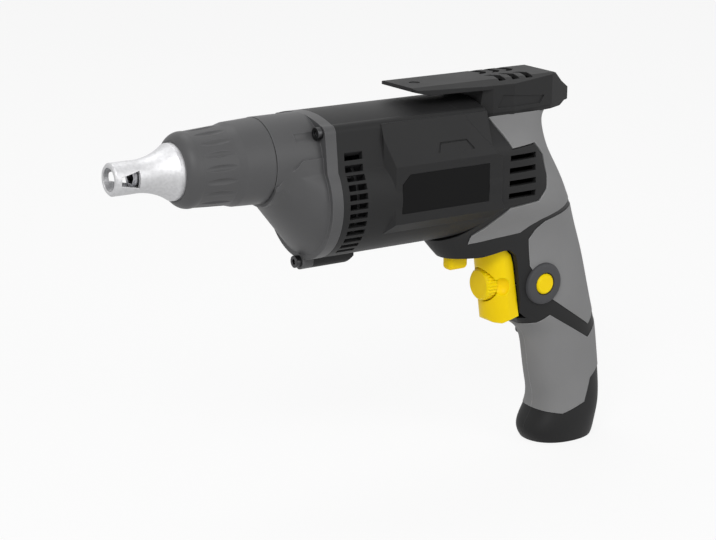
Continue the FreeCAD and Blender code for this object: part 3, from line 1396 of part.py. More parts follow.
def button_spring():
    start = SWITCH_NEAR - SEAT_GAP
    inner = BUTTON_FLANGE_FACE - BUTTON_FLANGE_THICKNESS
    base = vec(reach(BUTTON_REACH_SHARE), start, level(BUTTON_DROP_SHARE))
    length = inner + start - SEAT_GAP
    return coil_spring(BUTTON_SPRING_RADIUS, BUTTON_SPRING_WIRE, BUTTON_SPRING_TURNS, length, base, -Y_AXIS)


def switch_body():
    top = level(SWITCH_TOP_SHARE)
    end = SWITCH_X + SWITCH_LENGTH
    body = block(SWITCH_X, end, SWITCH_NEAR, SWITCH_FAR, top - SWITCH_HEIGHT, top)
    body = body.makeChamfer(SWITCH_EDGE, body.Edges)
    foot = top - SWITCH_HEIGHT
    pins = []
    for k in range(TERMINAL_COUNT):
        start = SWITCH_X + TERMINAL_PITCH * (k + 1) - TERMINAL_SIZE
        end = start + TERMINAL_SIZE
        pins.append(block(start, end, 0, TERMINAL_SIZE, foot - TERMINAL_SIZE, foot + SWITCH_EDGE))
    body = fused([body] + pins)
    bore_end = SWITCH_X + PLUNGER_BORE_DEPTH
    bore = rod_x(SWITCH_X - OVERRUN, bore_end, PLUNGER_RADIUS + RUN_GAP, 0, level(DIAL_DROP_SHARE))
    return body.cut(bore)


def capacitor():
    x = reach(CAPACITOR_REACH_SHARE)
    return rod_y(-CAPACITOR_HALF, CAPACITOR_HALF, CAPACITOR_RADIUS, x, level(CAPACITOR_DROP_SHARE))


def cord_clamp():
    middle = reach(CLAMP_REACH_SHARE)
    z = level(CLAMP_DROP_SHARE)
    near = CLAMP_SADDLE_RADIUS
    bar = block(middle - CLAMP_LENGTH / 2, middle + CLAMP_LENGTH / 2, near, near + CLAMP_THICKNESS,
                z - CLAMP_WIDTH / 2, z + CLAMP_WIDTH / 2)
    bar = bar.cut(rod_z(z - CLAMP_WIDTH, z + CLAMP_WIDTH, GLAND_BORE_RADIUS, middle, 0))
    for x in clamp_places():
        bar = bar.cut(rod_y(0, near + CLAMP_THICKNESS + OVERRUN, CLAMP_SHANK_RADIUS + SEAT_GAP, x, z))
    return bar


def clamp_screws():
    screws = []
    face = CLAMP_SADDLE_RADIUS + CLAMP_THICKNESS
    for x in clamp_places():
        head = rod_y(face, face + CLAMP_HEAD_LENGTH, POST_HEAD_RADIUS, x, level(CLAMP_DROP_SHARE))
        start = CLAMP_SADDLE_RADIUS - CLAMP_SHANK_LENGTH
        screws.append(head.fuse(rod_y(start, face, CLAMP_SHANK_RADIUS, x, level(CLAMP_DROP_SHARE))))
    return Part.makeCompound(screws)


def cord_gland():
    # Sleeve in the butt that the mains cord enters through
    x = reach(GLAND_REACH_SHARE)
    foot = butt()
    rim = foot + BUTT_WALL + SEAT_GAP
    sleeve = rod_z(foot, foot + GLAND_LENGTH, GLAND_RADIUS, x, 0)
    sleeve = sleeve.fuse(rod_z(rim, rim + GLAND_RIM_LENGTH, GLAND_RIM_RADIUS, x, 0))
    return sleeve.cut(rod_z(foot - OVERRUN, foot + GLAND_LENGTH + OVERRUN, GLAND_BORE_RADIUS, x, 0))


def cover_side(inset):
    # Side outline of the rear cover behind the hook's root, open below when inset
    foot = COVER_FOOT - OVERRUN if inset else COVER_FOOT
    return [
        (COVER_FOOT_X + inset, foot), (HOOK_ROOT_X + inset, HOOK_TOP - inset),
        (COVER_BROW_X, HOOK_TOP - inset), (COVER_BREAK_X - inset, COVER_BREAK_TOP - inset),
        (COVER_END_X - inset, COVER_END_TOP), (COVER_END_X - inset, COVER_END_FOOT),
        (COVER_TAIL_X - inset, foot),
    ]


def cover_plan(inset):
    right = [
        (COVER_FOOT_X - OVERRUN, COVER_CORNER_HALF - inset), (COVER_CORNER_X, HOOK_ROOT_HALF - inset),
        (COVER_WIDE_X, COVER_WIDE_HALF - inset), (COVER_NARROW_X, COVER_NARROW_HALF - inset),
        (COVER_END_X - inset, COVER_END_HALF - inset),
    ]
    return right + [(x, -y) for x, y in reversed(right)]


def crown_section(inset):
    side = HOOK_TOP - CROWN_SIDE_DROP - inset
    flat = HOOK_TOP - inset
    low = COVER_FOOT - 2 * OVERRUN
    return [(-CROWN_SIDE_HALF, low), (CROWN_SIDE_HALF, low), (CROWN_SIDE_HALF, side), (CROWN_FLAT_HALF, flat),
            (-CROWN_FLAT_HALF, flat), (-CROWN_SIDE_HALF, side)]


def cover_form(inset):
    body = prism_y(cover_side(inset), -CROWN_SIDE_HALF, CROWN_SIDE_HALF)
    body = body.common(prism_z(cover_plan(inset), COVER_FOOT - 2 * OVERRUN, HOOK_TOP))
    return body.common(prism_x(crown_section(inset), COVER_FOOT_X - OVERRUN, COVER_END_X + OVERRUN))


def hook_blade():
    low = HOOK_TOP - HOOK_THICKNESS
    side = [
        (HOOK_TIP_X, low + HOOK_THICKNESS / 2), (HOOK_TIP_X + HOOK_TIP_RAMP, low),
        (HOOK_ROOT_X + HOOK_THICKNESS, low), (HOOK_ROOT_X + HOOK_THICKNESS, HOOK_TOP),
        (HOOK_TIP_X, HOOK_TOP),
    ]
    straight = HOOK_TIP_HALF - HOOK_TIP_ROUND
    bend = HOOK_TIP_ROUND * (1 - math.sqrt(0.5))
    turn_x = HOOK_TIP_X + bend
    turn_y = HOOK_TIP_HALF - bend
    plan = [
        (HOOK_TIP_X, straight), (HOOK_TIP_X, -straight),
        (turn_x, -turn_y, HOOK_TIP_X + HOOK_TIP_ROUND, -HOOK_TIP_HALF),
        (HOOK_ROOT_X, -HOOK_ROOT_HALF), (COVER_WIDE_X, -HOOK_ROOT_HALF), (COVER_WIDE_X, HOOK_ROOT_HALF),
        (HOOK_ROOT_X, HOOK_ROOT_HALF), (HOOK_TIP_X + HOOK_TIP_ROUND, HOOK_TIP_HALF),
        (turn_x, turn_y, HOOK_TIP_X, straight),
    ]
    top = crown_section(0)
    blade = prism_y(side, -CROWN_SIDE_HALF, CROWN_SIDE_HALF).common(prism_z(plan, low, HOOK_TOP))
    blade = blade.common(prism_x(top, HOOK_TIP_X - OVERRUN, COVER_WIDE_X))
    dimple = rod_z(HOOK_TOP - HOOK_DIMPLE_DEPTH, HOOK_TOP + OVERRUN, HOOK_DIMPLE_RADIUS, HOOK_DIMPLE_X, 0)
    return blade.cut(dimple)


def chevron_slot(start):
    half = CHEVRON_WIDTH / 2
    line = [(start, CHEVRON_INNER), (start + CHEVRON_LEAN, CHEVRON_BEND), (start, CHEVRON_OUTER)]
    front = [(x - half, y) for x, y in line]
    rear = [(x + half, y) for x, y in reversed(line)]
    return prism_z(front + rear, HOOK_TOP - CROWN_SIDE_DROP - COVER_WALL * 2, HOOK_TOP + OVERRUN)


def side_recess():
    # Slanted panel on both cheeks of the cover
    outline = [
        (SIDE_RECESS_X, SIDE_RECESS_FOOT), (SIDE_RECESS_X + SIDE_RECESS_SLANT, SIDE_RECESS_TOP),
        (SIDE_RECESS_END_X, SIDE_RECESS_END_TOP),
        (SIDE_RECESS_END_X - SIDE_RECESS_SLANT, SIDE_RECESS_END_FOOT),
    ]
    return prism_y(outline, -CROWN_SIDE_HALF, CROWN_SIDE_HALF)


def hook_screw_places():
    return [HOOK_SCREW_X, HOOK_SCREW_X + HOOK_SCREW_PITCH]


def belt_hook():
    hook = fused([cover_form(0), hook_blade()])
    low = COVER_FOOT - 2 * OVERRUN
    wide = CROWN_SIDE_HALF
    hollow = block(COVER_FOOT_X, COVER_HOLLOW_END_X, -wide, wide, low, HOOK_TOP)
    inner = cover_form(COVER_WALL).common(hollow)
    for x in hook_screw_places():
        inner = inner.cut(rod_z(low, HOOK_TOP, HOOK_POST_RADIUS, x, 0))
    hook = hook.cut(inner)
    lip = block(COVER_FOOT_X - OVERRUN, COVER_END_X, -wide, wide, low, COVER_FOOT + COVER_LIP_HEIGHT)
    hook = hook.cut(lip.cut(cover_form(COVER_LIP_INSET)))
    hook = hook.cut(side_recess().cut(cover_form(SIDE_RECESS_DEPTH)))
    slots = Part.makeCompound([chevron_slot(CHEVRON_X + k * CHEVRON_PITCH) for k in range(CHEVRON_COUNT)])
    hook = hook.cut(Part.makeCompound([slots, mirrored(slots)]))
    for x in hook_screw_places():
        hole_end = COVER_FOOT + HOOK_SHANK_UP + SEAT_GAP
        hook = hook.cut(rod_z(COVER_FOOT - OVERRUN, hole_end, SHANK_RADIUS + SEAT_GAP, x, 0))
    return hook


def hook_screws():
    # Driven upwards from inside the handle's deck into the cover's posts
    under = HANDLE_TOP - DECK_WALL
    screws = []
    for x in hook_screw_places():
        head = rod_z(under - POST_HEAD_LENGTH, under, POST_HEAD_RADIUS, x, 0)
        screws.append(head.fuse(rod_z(under, COVER_FOOT + HOOK_SHANK_UP, SHANK_RADIUS, x, 0)))
    return Part.makeCompound(screws)


def main():
    os.makedirs("parts", exist_ok=True)
    skin = panel_skin()
    rubber = rubber_grip(skin)
    shell = handle_shell(skin)
    parts = {
        "nose_cone": nose_cone(),
        "depth_collar": depth_collar(),
        "detent_ring": detent_ring(),
        "gear_housing": gear_housing(),
        "flange_screws": flange_screws(),
        "gear_plate": gear_plate(),
        "front_bearing": front_bearing(),
        "rear_bearing": rear_bearing(),
        "bearing_boot": bearing_boot(),
        "spindle_bush": spindle_bush(),
        "spindle_seal": spindle_seal(),
        "drive_gear": drive_gear(),
        "clutch_spring": clutch_spring(),
        "thrust_washer": thrust_washer(),
        "spindle": spindle(),
        "bit_holder": bit_holder(),
        "armature_shaft": armature_shaft(),
        "armature_core": armature_core(),
        "armature_windings": armature_windings(),
        "commutator": commutator(),
        "cooling_fan": cooling_fan(),
        "field_core": field_core(),
        "field_coils": field_coils(),
        "fan_baffle": fan_baffle(),
        "brush_holders": both_sides(brush_holder()),
        "carbon_brushes": both_sides(carbon_brush()),
        "brush_springs": both_sides(brush_spring()),
        "motor_housing": motor_housing(),
        "label_plate": label_plate(),
        "handle_left": handle_left(shell),
        "handle_right": handle_right(shell),
        "rubber_grip_left": rubber.common(half_space(-1)),
        "rubber_grip_right": rubber.common(half_space(1)),
        "handle_screws": handle_screws(),
        "belt_hook": belt_hook(),
        "hook_screws": hook_screws(),
        "trigger": trigger(),
        "trigger_spring": trigger_spring(),
        "speed_dial": speed_dial(),
        "reverse_lever": reverse_lever(),
        "lever_pin": lever_pin(),
        "lock_button": lock_button(),
        "button_spring": button_spring(),
        "switch_body": switch_body(),
        "capacitor": capacitor(),
        "cord_clamp": cord_clamp(),
        "clamp_screws": clamp_screws(),
        "cord_gland": cord_gland(),
    }
    for name, shape in parts.items():
        shape.exportStep("parts/" + name + ".step")


main()
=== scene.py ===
import math

import bmesh
import bpy
from bpy.props import FloatProperty, FloatVectorProperty, PointerProperty
from mathutils import Matrix, Vector
from mathutils.bvhtree import BVHTree


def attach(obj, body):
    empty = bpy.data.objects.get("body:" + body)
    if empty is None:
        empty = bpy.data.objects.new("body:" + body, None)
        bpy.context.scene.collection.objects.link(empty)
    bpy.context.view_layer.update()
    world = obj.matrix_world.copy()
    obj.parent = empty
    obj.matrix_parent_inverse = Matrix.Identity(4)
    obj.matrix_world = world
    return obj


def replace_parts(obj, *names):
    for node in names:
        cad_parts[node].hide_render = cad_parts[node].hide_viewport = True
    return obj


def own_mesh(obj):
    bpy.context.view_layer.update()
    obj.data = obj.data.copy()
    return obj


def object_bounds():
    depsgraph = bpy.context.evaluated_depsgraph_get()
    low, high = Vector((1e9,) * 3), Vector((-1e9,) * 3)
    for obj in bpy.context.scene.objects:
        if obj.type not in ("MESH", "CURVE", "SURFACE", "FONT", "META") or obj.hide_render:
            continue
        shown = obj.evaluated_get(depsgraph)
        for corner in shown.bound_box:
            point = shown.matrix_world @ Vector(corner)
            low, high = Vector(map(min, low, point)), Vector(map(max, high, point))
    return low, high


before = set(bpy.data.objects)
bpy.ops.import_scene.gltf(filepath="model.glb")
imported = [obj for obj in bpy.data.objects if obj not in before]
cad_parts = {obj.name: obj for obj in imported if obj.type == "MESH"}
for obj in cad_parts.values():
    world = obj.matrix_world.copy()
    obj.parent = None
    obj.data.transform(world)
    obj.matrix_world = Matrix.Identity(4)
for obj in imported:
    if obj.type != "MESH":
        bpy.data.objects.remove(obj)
CAD_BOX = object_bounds()

bl_info = {
    "name": "Drywall Screwdriver",
    "version": (1, 0, 0),
    "blender": (4, 5, 0),
    "location": "View3D > Sidebar > Screwdriver",
    "description": "Dresses a mains drywall screwdriver and sets its studio",
    "category": "Object",
}

# Photograph's frame and the place it was taken from
IMAGE_WIDTH_PX = 716
FOCAL_LENGTH_PX = 2100
SENSOR_WIDTH_MM = 36
CAMERA_PLACE = (-0.4569, -0.8861, 0.2302)
CAMERA_AZIMUTH = -34.245
CAMERA_ELEVATION = 15.481
CAMERA_ROLL = 0.563

SHELL_NODES = ("motor_housing", "handle_left", "handle_right")
HOOK_NODES = ("belt_hook",)
COLLAR_NODES = ("depth_collar",)
GRIP_NODES = ("rubber_grip_left", "rubber_grip_right")
CONTROL_NODES = ("trigger", "speed_dial", "reverse_lever", "lock_button")
CAST_NODES = ("nose_cone", "gear_plate")
SCREW_NODES = ("flange_screws", "handle_screws", "hook_screws", "clamp_screws")
STEEL_NODES = (
    "spindle", "bit_holder", "thrust_washer", "drive_gear", "armature_shaft", "front_bearing",
    "rear_bearing", "lever_pin", "brush_springs",
)
COPPER_NODES = ("armature_windings", "field_coils", "commutator")
CORE_NODES = ("armature_core", "field_core")
BRONZE_NODES = ("spindle_bush", "brush_holders")
INNER_PLASTIC_NODES = ("cooling_fan", "fan_baffle", "switch_body", "cord_clamp", "carbon_brushes")
BLACK_RUBBER_NODES = ("cord_gland", "bearing_boot", "spindle_seal", "detent_ring")
GLOSS_NODES = ("label_plate", "capacitor")

# Plastics and rubbers: least and most roughness, strength of the grain and specular level
PLASTIC_SURFACES = {
    "charcoal_plastic": (0.44, 0.60, 0.35, 0.17),
    "hook_plastic": (0.48, 0.62, 0.35, 0.15),
    "case_paint": (0.42, 0.55, 0.25, 0.30),
    "grey_rubber": (0.62, 0.75, 0.30, 0.30),
    "black_rubber": (0.60, 0.75, 0.30, 0.30),
    "yellow_plastic": (0.36, 0.48, 0.12, 0.16),
    "inner_plastic": (0.45, 0.60, 0.20, 0.40),
    "label_gloss": (0.40, 0.50, 0.04, 0.10),
}

# Mottled tone of the plastics: size in grains, detail, darkest and lightest tone
MOTTLE_GRAINS = 40
MOTTLE_DETAIL = 3
MOTTLE_TONES = (0.88, 1.12)

# Edges of the plastics lightened in the colour, partly as wear and partly as painted highlight: how fast
# they show and their tone
EDGE_WEAR_HIGHLIGHT_GAIN = 5
EDGE_WEAR_HIGHLIGHT_TONE = 1.7

# Metals: least and most roughness and strength of the grain
METAL_SURFACES = {
    "cast_alloy": (0.46, 0.58, 0.60),
    "dark_steel": (0.30, 0.42, 0.15),
    "bare_steel": (0.28, 0.42, 0.15),
    "bronze": (0.35, 0.50, 0.15),
    "varnished_copper": (0.25, 0.40, 0.50),
    "laminated_iron": (0.40, 0.60, 0.50),
}

# Clouded tone of the metals: size in grains, detail, darkest and lightest tone
CLOUD_GRAINS = 25
CLOUD_DETAIL = 4
CLOUD_TONES = (0.85, 1.12)

# Dark specks in the metals: size in grains, detail, span of their share and tone
SPECK_GRAINS = 1.6
SPECK_DETAIL = 4
SPECK_SPAN = (-0.35, 0.65)
SPECK_TONE = 0.62

# Height of the relief as a share of the grain, and detail of the grain
PLASTIC_RELIEF = 0.12
METAL_RELIEF = 0.1
FINE_DETAIL = 2

# Coarser grain of the grip and the castings, finer edge of the label and samples of a rounded edge
RUBBER_GRAIN = 1.4
CAST_GRAIN = 1.5
LABEL_EDGE = 0.5
EDGE_SAMPLES = 6

# Angle past which an edge of a new piece stays sharp
SMOOTH_ANGLE = math.radians(32)

# Distances at which points merge, a cut snaps to a point and a ray starts off its face
WELD = 1e-6
CUT_SNAP = 1e-7
RAY_START = 1e-5

# Upper soft panel round the handle's vents, side outline in metres along X and Z
TANG_OUTLINE = (
    (0.2120, 0.0170), (0.2235, -0.0046), (0.2398, -0.0036), (0.2465, -0.0108), (0.2490, -0.0220),
    (0.2485, -0.0290), (0.2440, -0.0350), (0.2250, -0.0366), (0.2205, -0.0406), (0.2135, -0.0476),
    (0.2075, -0.0520), (0.2075, -0.0570), (0.2240, -0.0554), (0.2400, -0.0544), (0.2460, -0.0506),
    (0.2525, -0.0476), (0.2680, -0.0436), (0.2920, -0.0358), (0.3275, -0.0230), (0.3275, 0.0170),
)

# Middle of the handle along X, gap to the recess's walls, rise over its floor and edges too short to keep
TANG_CORE_X = 0.238
TANG_GAP = 0.0001
TANG_LIFT = 0.0019
SLIVER = 0.00012

# Least share to which a face of the skin looks outwards, and what tells the floors of the screw wells
SKIN_FACING = 0.2
WELL_FACING = 0.999
WELL_REACH = 0.012

# Scoop of the gear case: place along X, height of its middle and radius at both ends
SCOOP_ENDS = ((0.0824, 0.0, 0.0205), (0.1090, -0.0228, 0.0296))

# Trim of the scoop: shares of its length where it starts and stops, steps between them and points round it
SCOOP_SPAN = (-0.09, 0.998)
SCOOP_STATIONS = 12
SCOOP_POINTS = 128

# The trim leaves the neck whole and reaches out past the flange
NECK_CLEAR_RADIUS = 0.0240
TRIM_RADIUS = 0.080

# Bezel: middle of the lock button, then pairs of radius and distance from the parting plane
BUTTON_PLACE = (0.2596, -0.0872)
BEZEL_PROFILE = (
    (0.0118, 0.0130), (0.0118, 0.0170), (0.0114, 0.0178), (0.0106, 0.0183), (0.0092, 0.0185),
    (0.0068, 0.0185), (0.0064, 0.0182), (0.0063, 0.0178), (0.0063, 0.0130),
)
BEZEL_STEPS = 96

# Springs: node, joint that shortens it, direction, fixed end and share of the length that is left
SPRINGS = (
    ("clutch_spring", "spindle_push", (1, 0, 0), (0.09933, 0, 0), 0.385),
    ("trigger_spring", "trigger_press", (1, 0, 0), (0.26085, 0, -0.087), 0.48),
    ("button_spring", "lock_button_press", (0, 1, 0), (0.2596, -0.00515, -0.0872), 0.14),
)

# Round lights: name, place, diameter and the stage's setting for the power
LIGHTS = (
    ("key_light", (-0.9, -1.0, 1.1), 0.9, "key_power"),
    ("fill_light", (0.9, -1.3, 0.5), 1.0, "fill_power"),
    ("top_light", (0.2, 0.6, 1.4), 1.0, "top_power"),
)

# Floor: roughness and the share of white that the camera sees of it
FLOOR_ROUGHNESS = 0.9
FLOOR_GLOW = 0.88


def colour(name, description, default):
    return FloatVectorProperty(
        name=name, description=description, default=default, size=3, min=0, max=1, subtype="COLOR")


def length(name, description, default):
    return FloatProperty(
        name=name, description=description, default=default, min=0, subtype="DISTANCE",
        unit="LENGTH", precision=5)


def power(name, description, default):
    return FloatProperty(name=name, description=description, default=default, unit="POWER")


class ScrewdriverFinish(bpy.types.PropertyGroup):
    """Colours and surface sizes of the screwdriver's finishes"""

    shell: colour("Shell", "Charcoal moulded plastic", (0.017, 0.017, 0.0174))
    hook: colour("Hook", "Belt hook and rear cover", (0.019, 0.019, 0.0194))
    case: colour("Gear case", "Painted gear housing and collar", (0.075, 0.075, 0.077))
    grip: colour("Grip", "Soft grey panels", (0.215, 0.215, 0.217))
    control: colour("Controls", "Yellow trigger, dial, lever and button", (1.0, 0.66, 0.0))
    cast: colour("Cast nose", "Satin light-alloy casting", (0.60, 0.60, 0.61))
    screw: colour("Screws", "Blackened steel screws", (0.06, 0.06, 0.062))
    steel: colour("Steel", "Bare steel", (0.42, 0.42, 0.44))
    copper: colour("Copper", "Varnished windings", (0.45, 0.17, 0.06))
    core: colour("Core", "Laminated iron", (0.14, 0.14, 0.15))
    bronze: colour("Bronze", "Bearing bronze and brush boxes", (0.50, 0.32, 0.12))
    inner: colour("Inner plastic", "Black plastic inside", (0.018, 0.018, 0.019))
    rubber: colour("Black rubber", "Gland, boot and seal", (0.015, 0.015, 0.015))
    label: colour("Label", "Bare label place", (0.003, 0.003, 0.0032))
    grain: length("Grain", "Size of the moulded grain", 0.0007)
    edge: length("Edge", "Radius of the softened moulded edges", 0.0006)


class ScrewdriverStage(bpy.types.PropertyGroup):
    """Studio round the screwdriver"""

    floor: colour("Floor", "Pale floor", (0.9, 0.9, 0.9))
    floor_size: length("Floor size", "Side of the floor", 6.0)
    floor_drop: length("Floor drop", "Gap under the butt", 0.0005)
    key_power: power("Key light", "Power of the key light", 17)
    fill_power: power("Fill light", "Power of the fill light", 6)
    top_power: power("Top light", "Power of the overhead light", 6)
    ambient: FloatProperty(
        name="Ambient", description="Strength of the white surround", default=0.27, min=0)


class NodeSheet:
    """Short way to add and join the nodes of one material"""

    def __init__(self, name):
        self.material = bpy.data.materials.new(name)
        self.material.use_nodes = True
        self.tree = self.material.node_tree
        self.shader = self.tree.nodes["Principled BSDF"]
        self.output = self.tree.nodes["Material Output"]

    def add(self, kind, **settings):
        node = self.tree.nodes.new(kind)
        for key, value in settings.items():
            setattr(node, key, value)
        return node

    def join(self, source, target):
        self.tree.links.new(source, target)

    def place(self):
        return self.add("ShaderNodeTexCoord").outputs["Object"]

    def noise(self, size, detail=FINE_DETAIL):
        node = self.add("ShaderNodeTexNoise")
        node.inputs["Scale"].default_value = 1 / size
        node.inputs["Detail"].default_value = detail
        self.join(self.place(), node.inputs["Vector"])
        return node.outputs["Fac"]

    def span(self, value, low, high):
        node = self.add("ShaderNodeMapRange")
        node.inputs["To Min"].default_value = low
        node.inputs["To Max"].default_value = high
        self.join(value, node.inputs["Value"])
        return node.outputs["Result"]

    def mix(self, share, first, second):
        node = self.add("ShaderNodeMix", data_type="RGBA")
        self.join(share, node.inputs["Factor"])
        for value, socket in ((first, node.inputs["A"]), (second, node.inputs["B"])):
            if isinstance(value, bpy.types.NodeSocket):
                self.join(value, socket)
            else:
                socket.default_value = value
        return node.outputs["Result"]

    def rounded(self, radius):
        node = self.add("ShaderNodeBevel", samples=EDGE_SAMPLES)
        node.inputs["Radius"].default_value = radius
        return node.outputs["Normal"]

    def edges(self, normal, gain):
        """Share that rises where the rounded normal leaves the flat one"""
        flat = self.add("ShaderNodeNewGeometry").outputs["Normal"]
        dot = self.add("ShaderNodeVectorMath", operation="DOT_PRODUCT")
        self.join(normal, dot.inputs[0])
        self.join(flat, dot.inputs[1])
        node = self.add("ShaderNodeMapRange")
        node.inputs["From Min"].default_value = 1
        node.inputs["From Max"].default_value = 1 - 1 / gain
        self.join(dot.outputs["Value"], node.inputs["Value"])
        return node.outputs["Result"]

    def bump(self, height, strength, distance, normal=None):
        node = self.add("ShaderNodeBump")
        node.inputs["Strength"].default_value = strength
        node.inputs["Distance"].default_value = distance
        self.join(height, node.inputs["Height"])
        if normal is not None:
            self.join(normal, node.inputs["Normal"])
        self.join(node.outputs["Normal"], self.shader.inputs["Normal"])


def shade(tint, amount):
    """Lighter or darker tint with full opacity"""
    return [min(1, c * amount) for c in tint] + [1]


def moulded(name, tint, grain, edge):
    """Grained plastic: mottled colour, uneven gloss, fine bump and edges lightened in the colour, partly
    as wear and partly as painted highlight
    """
    low, high, strength, specular = PLASTIC_SURFACES[name]
    dull, bright = (shade(tint, tone) for tone in MOTTLE_TONES)
    sheet = NodeSheet(name)
    sheet.shader.inputs["Specular IOR Level"].default_value = specular
    fine = sheet.noise(grain)
    broad = sheet.noise(grain * MOTTLE_GRAINS, MOTTLE_DETAIL)
    body = sheet.mix(broad, dull, bright)
    normal = sheet.rounded(edge)
    # Edges lightened in the colour: partly wear, partly painted highlight
    wear_and_highlight = sheet.edges(normal, EDGE_WEAR_HIGHLIGHT_GAIN)
    coloured = sheet.mix(wear_and_highlight, body, shade(tint, EDGE_WEAR_HIGHLIGHT_TONE))
    sheet.join(coloured, sheet.shader.inputs["Base Color"])
    sheet.join(sheet.span(broad, low, high), sheet.shader.inputs["Roughness"])
    sheet.bump(fine, strength, grain * PLASTIC_RELIEF, normal)
    return sheet.material


def metal(name, tint, grain, edge):
    """Bare metal: clouded tone, uneven polish and a fine cast or ground surface"""
    low, high, strength = METAL_SURFACES[name]
    dull, bright = (shade(tint, tone) for tone in CLOUD_TONES)
    sheet = NodeSheet(name)
    fine = sheet.noise(grain)
    broad = sheet.noise(grain * CLOUD_GRAINS, CLOUD_DETAIL)
    clouds = sheet.mix(broad, dull, bright)
    specks = sheet.span(sheet.noise(grain * SPECK_GRAINS, SPECK_DETAIL), *SPECK_SPAN)
    coloured = sheet.mix(specks, clouds, shade(tint, SPECK_TONE))
    sheet.join(coloured, sheet.shader.inputs["Base Color"])
    sheet.join(sheet.span(broad, low, high), sheet.shader.inputs["Roughness"])
    sheet.shader.inputs["Metallic"].default_value = 1
    sheet.bump(fine, strength, grain * METAL_RELIEF, sheet.rounded(edge))
    return sheet.material


def dress(nodes, material):
    """Give nodes of the frame one material"""
    for name in nodes:
        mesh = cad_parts[name].data
        mesh.materials.clear()
        mesh.materials.append(material)


def piece(name, form, material, body):
    """Mesh object made of a bmesh, in the row frame, that rides on a body"""
    mesh = bpy.data.meshes.new(name)
    form.to_mesh(mesh)
    form.free()
    return finished(name, mesh, material, body)


def finished(name, mesh, material, body):
    """Object of a mesh with smooth faces and sharp edges, its material and body"""
    if "custom_normal" in mesh.attributes:
        mesh.attributes.remove(mesh.attributes["custom_normal"])
    mesh.shade_smooth()
    mesh.set_sharp_from_angle(angle=SMOOTH_ANGLE)
    mesh.materials.clear()
    mesh.materials.append(material)
    item = bpy.data.objects.new(name, mesh)
    bpy.context.scene.collection.objects.link(item)
    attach(item, body)
    return item


def node_form(name):
    """Welded copy of a node's mesh in the row frame"""
    form = bmesh.new()
    form.from_mesh(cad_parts[name].data)
    form.transform(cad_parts[name].matrix_world)
    bmesh.ops.remove_doubles(form, verts=form.verts, dist=WELD)
    form.normal_update()
    return form


def encloses(outline, x, z):
    """True where a point lies inside a closed outline"""
    found = False
    for (x0, z0), (x1, z1) in zip(outline, outline[1:] + outline[:1]):
        if (z0 > z) != (z1 > z) and x < x0 + (z - z0) / (z1 - z0) * (x1 - x0):
            found = not found
    return found


def shrunk(outline, gap):
    """Outline drawn in by a gap on every side; its points run anticlockwise"""
    points = [Vector(point) for point in outline]
    drawn = []
    for before, here, after in zip(points[-1:] + points[:-1], points, points[1:] + points[:1]):
        inward = [Vector((-way.y, way.x)).normalized() for way in (here - before, after - here)]
        drawn.append(tuple(here + (inward[0] + inward[1]) * gap / (1 + inward[0].dot(inward[1]))))
    return drawn


def on_skin(face, tree, way):
    """True for a face that looks away from the handle's core and is open to its own side"""
    middle = face.calc_center_median()
    away = Vector((middle.x - TANG_CORE_X, middle.y, 0)).normalized()
    in_well = abs(face.normal.y) > WELL_FACING and abs(middle.y) < WELL_REACH
    if in_well or face.normal.dot(away) < SKIN_FACING:
        return False
    start = middle + face.normal * RAY_START
    return tree.ray_cast(start, Vector((0, way, 0)))[0] is None


def skin_panel(node, way):
    """Closed panel that fills the handle's recess, raised from the recess's floor"""
    form = node_form(node)
    tree = BVHTree.FromBMesh(form)
    outline = shrunk(TANG_OUTLINE, TANG_GAP)
    for (x0, z0), (x1, z1) in zip(outline, outline[1:] + outline[:1]):
        bmesh.ops.bisect_plane(
            form, geom=form.verts[:] + form.edges[:] + form.faces[:], dist=CUT_SNAP,
            plane_co=(x0, 0, z0), plane_no=(z1 - z0, 0, x0 - x1))
    spare = []
    for face in form.faces:
        middle = face.calc_center_median()
        if not encloses(outline, middle.x, middle.z) or not on_skin(face, tree, way):
            spare.append(face)
    bmesh.ops.delete(form, geom=spare, context="FACES")
    bmesh.ops.remove_doubles(form, verts=form.verts, dist=SLIVER)
    bmesh.ops.dissolve_degenerate(form, edges=form.edges, dist=SLIVER)
    form.normal_update()
    away = {tuple(vert.co): vert.normal * TANG_LIFT for vert in form.verts}
    raised = bmesh.ops.extrude_face_region(form, geom=form.faces[:], use_keep_orig=True)
    for item in raised["geom"]:
        if isinstance(item, bmesh.types.BMVert):
            item.co += away[tuple(item.co)]
    bmesh.ops.recalc_face_normals(form, faces=form.faces)
    return form


def scoop_ring(form, share, least):
    """Ring of points round the scoop and the neck, at a share of the length and a least radius"""
    x, middle, radius = (a + (b - a) * share for a, b in zip(*SCOOP_ENDS))
    ring = []
    for k in range(SCOOP_POINTS):
        turn = 2 * math.pi * k / SCOOP_POINTS
        along, up = math.sin(turn), math.cos(turn)
        neck = -middle * up + math.sqrt(max(0, NECK_CLEAR_RADIUS ** 2 - (middle * along) ** 2))
        far = max(radius, neck, least)
        ring.append(form.verts.new((x, far * along, middle + far * up)))
    return ring


def scoop_trim():
    """Thick tube whose bore is the form that stays of the gear case"""
    form = bmesh.new()
    start, end = SCOOP_SPAN
    step = (end - start) / SCOOP_STATIONS
    rings = [scoop_ring(form, start + step * k, 0) for k in range(SCOOP_STATIONS + 1)]
    rings += [scoop_ring(form, end, TRIM_RADIUS), scoop_ring(form, start, TRIM_RADIUS)]
    for near, far in zip(rings, rings[1:] + rings[:1]):
        for k in range(SCOOP_POINTS):
            form.faces.new((near[k - 1], near[k], far[k], far[k - 1]))
    bmesh.ops.recalc_face_normals(form, faces=form.faces)
    return form


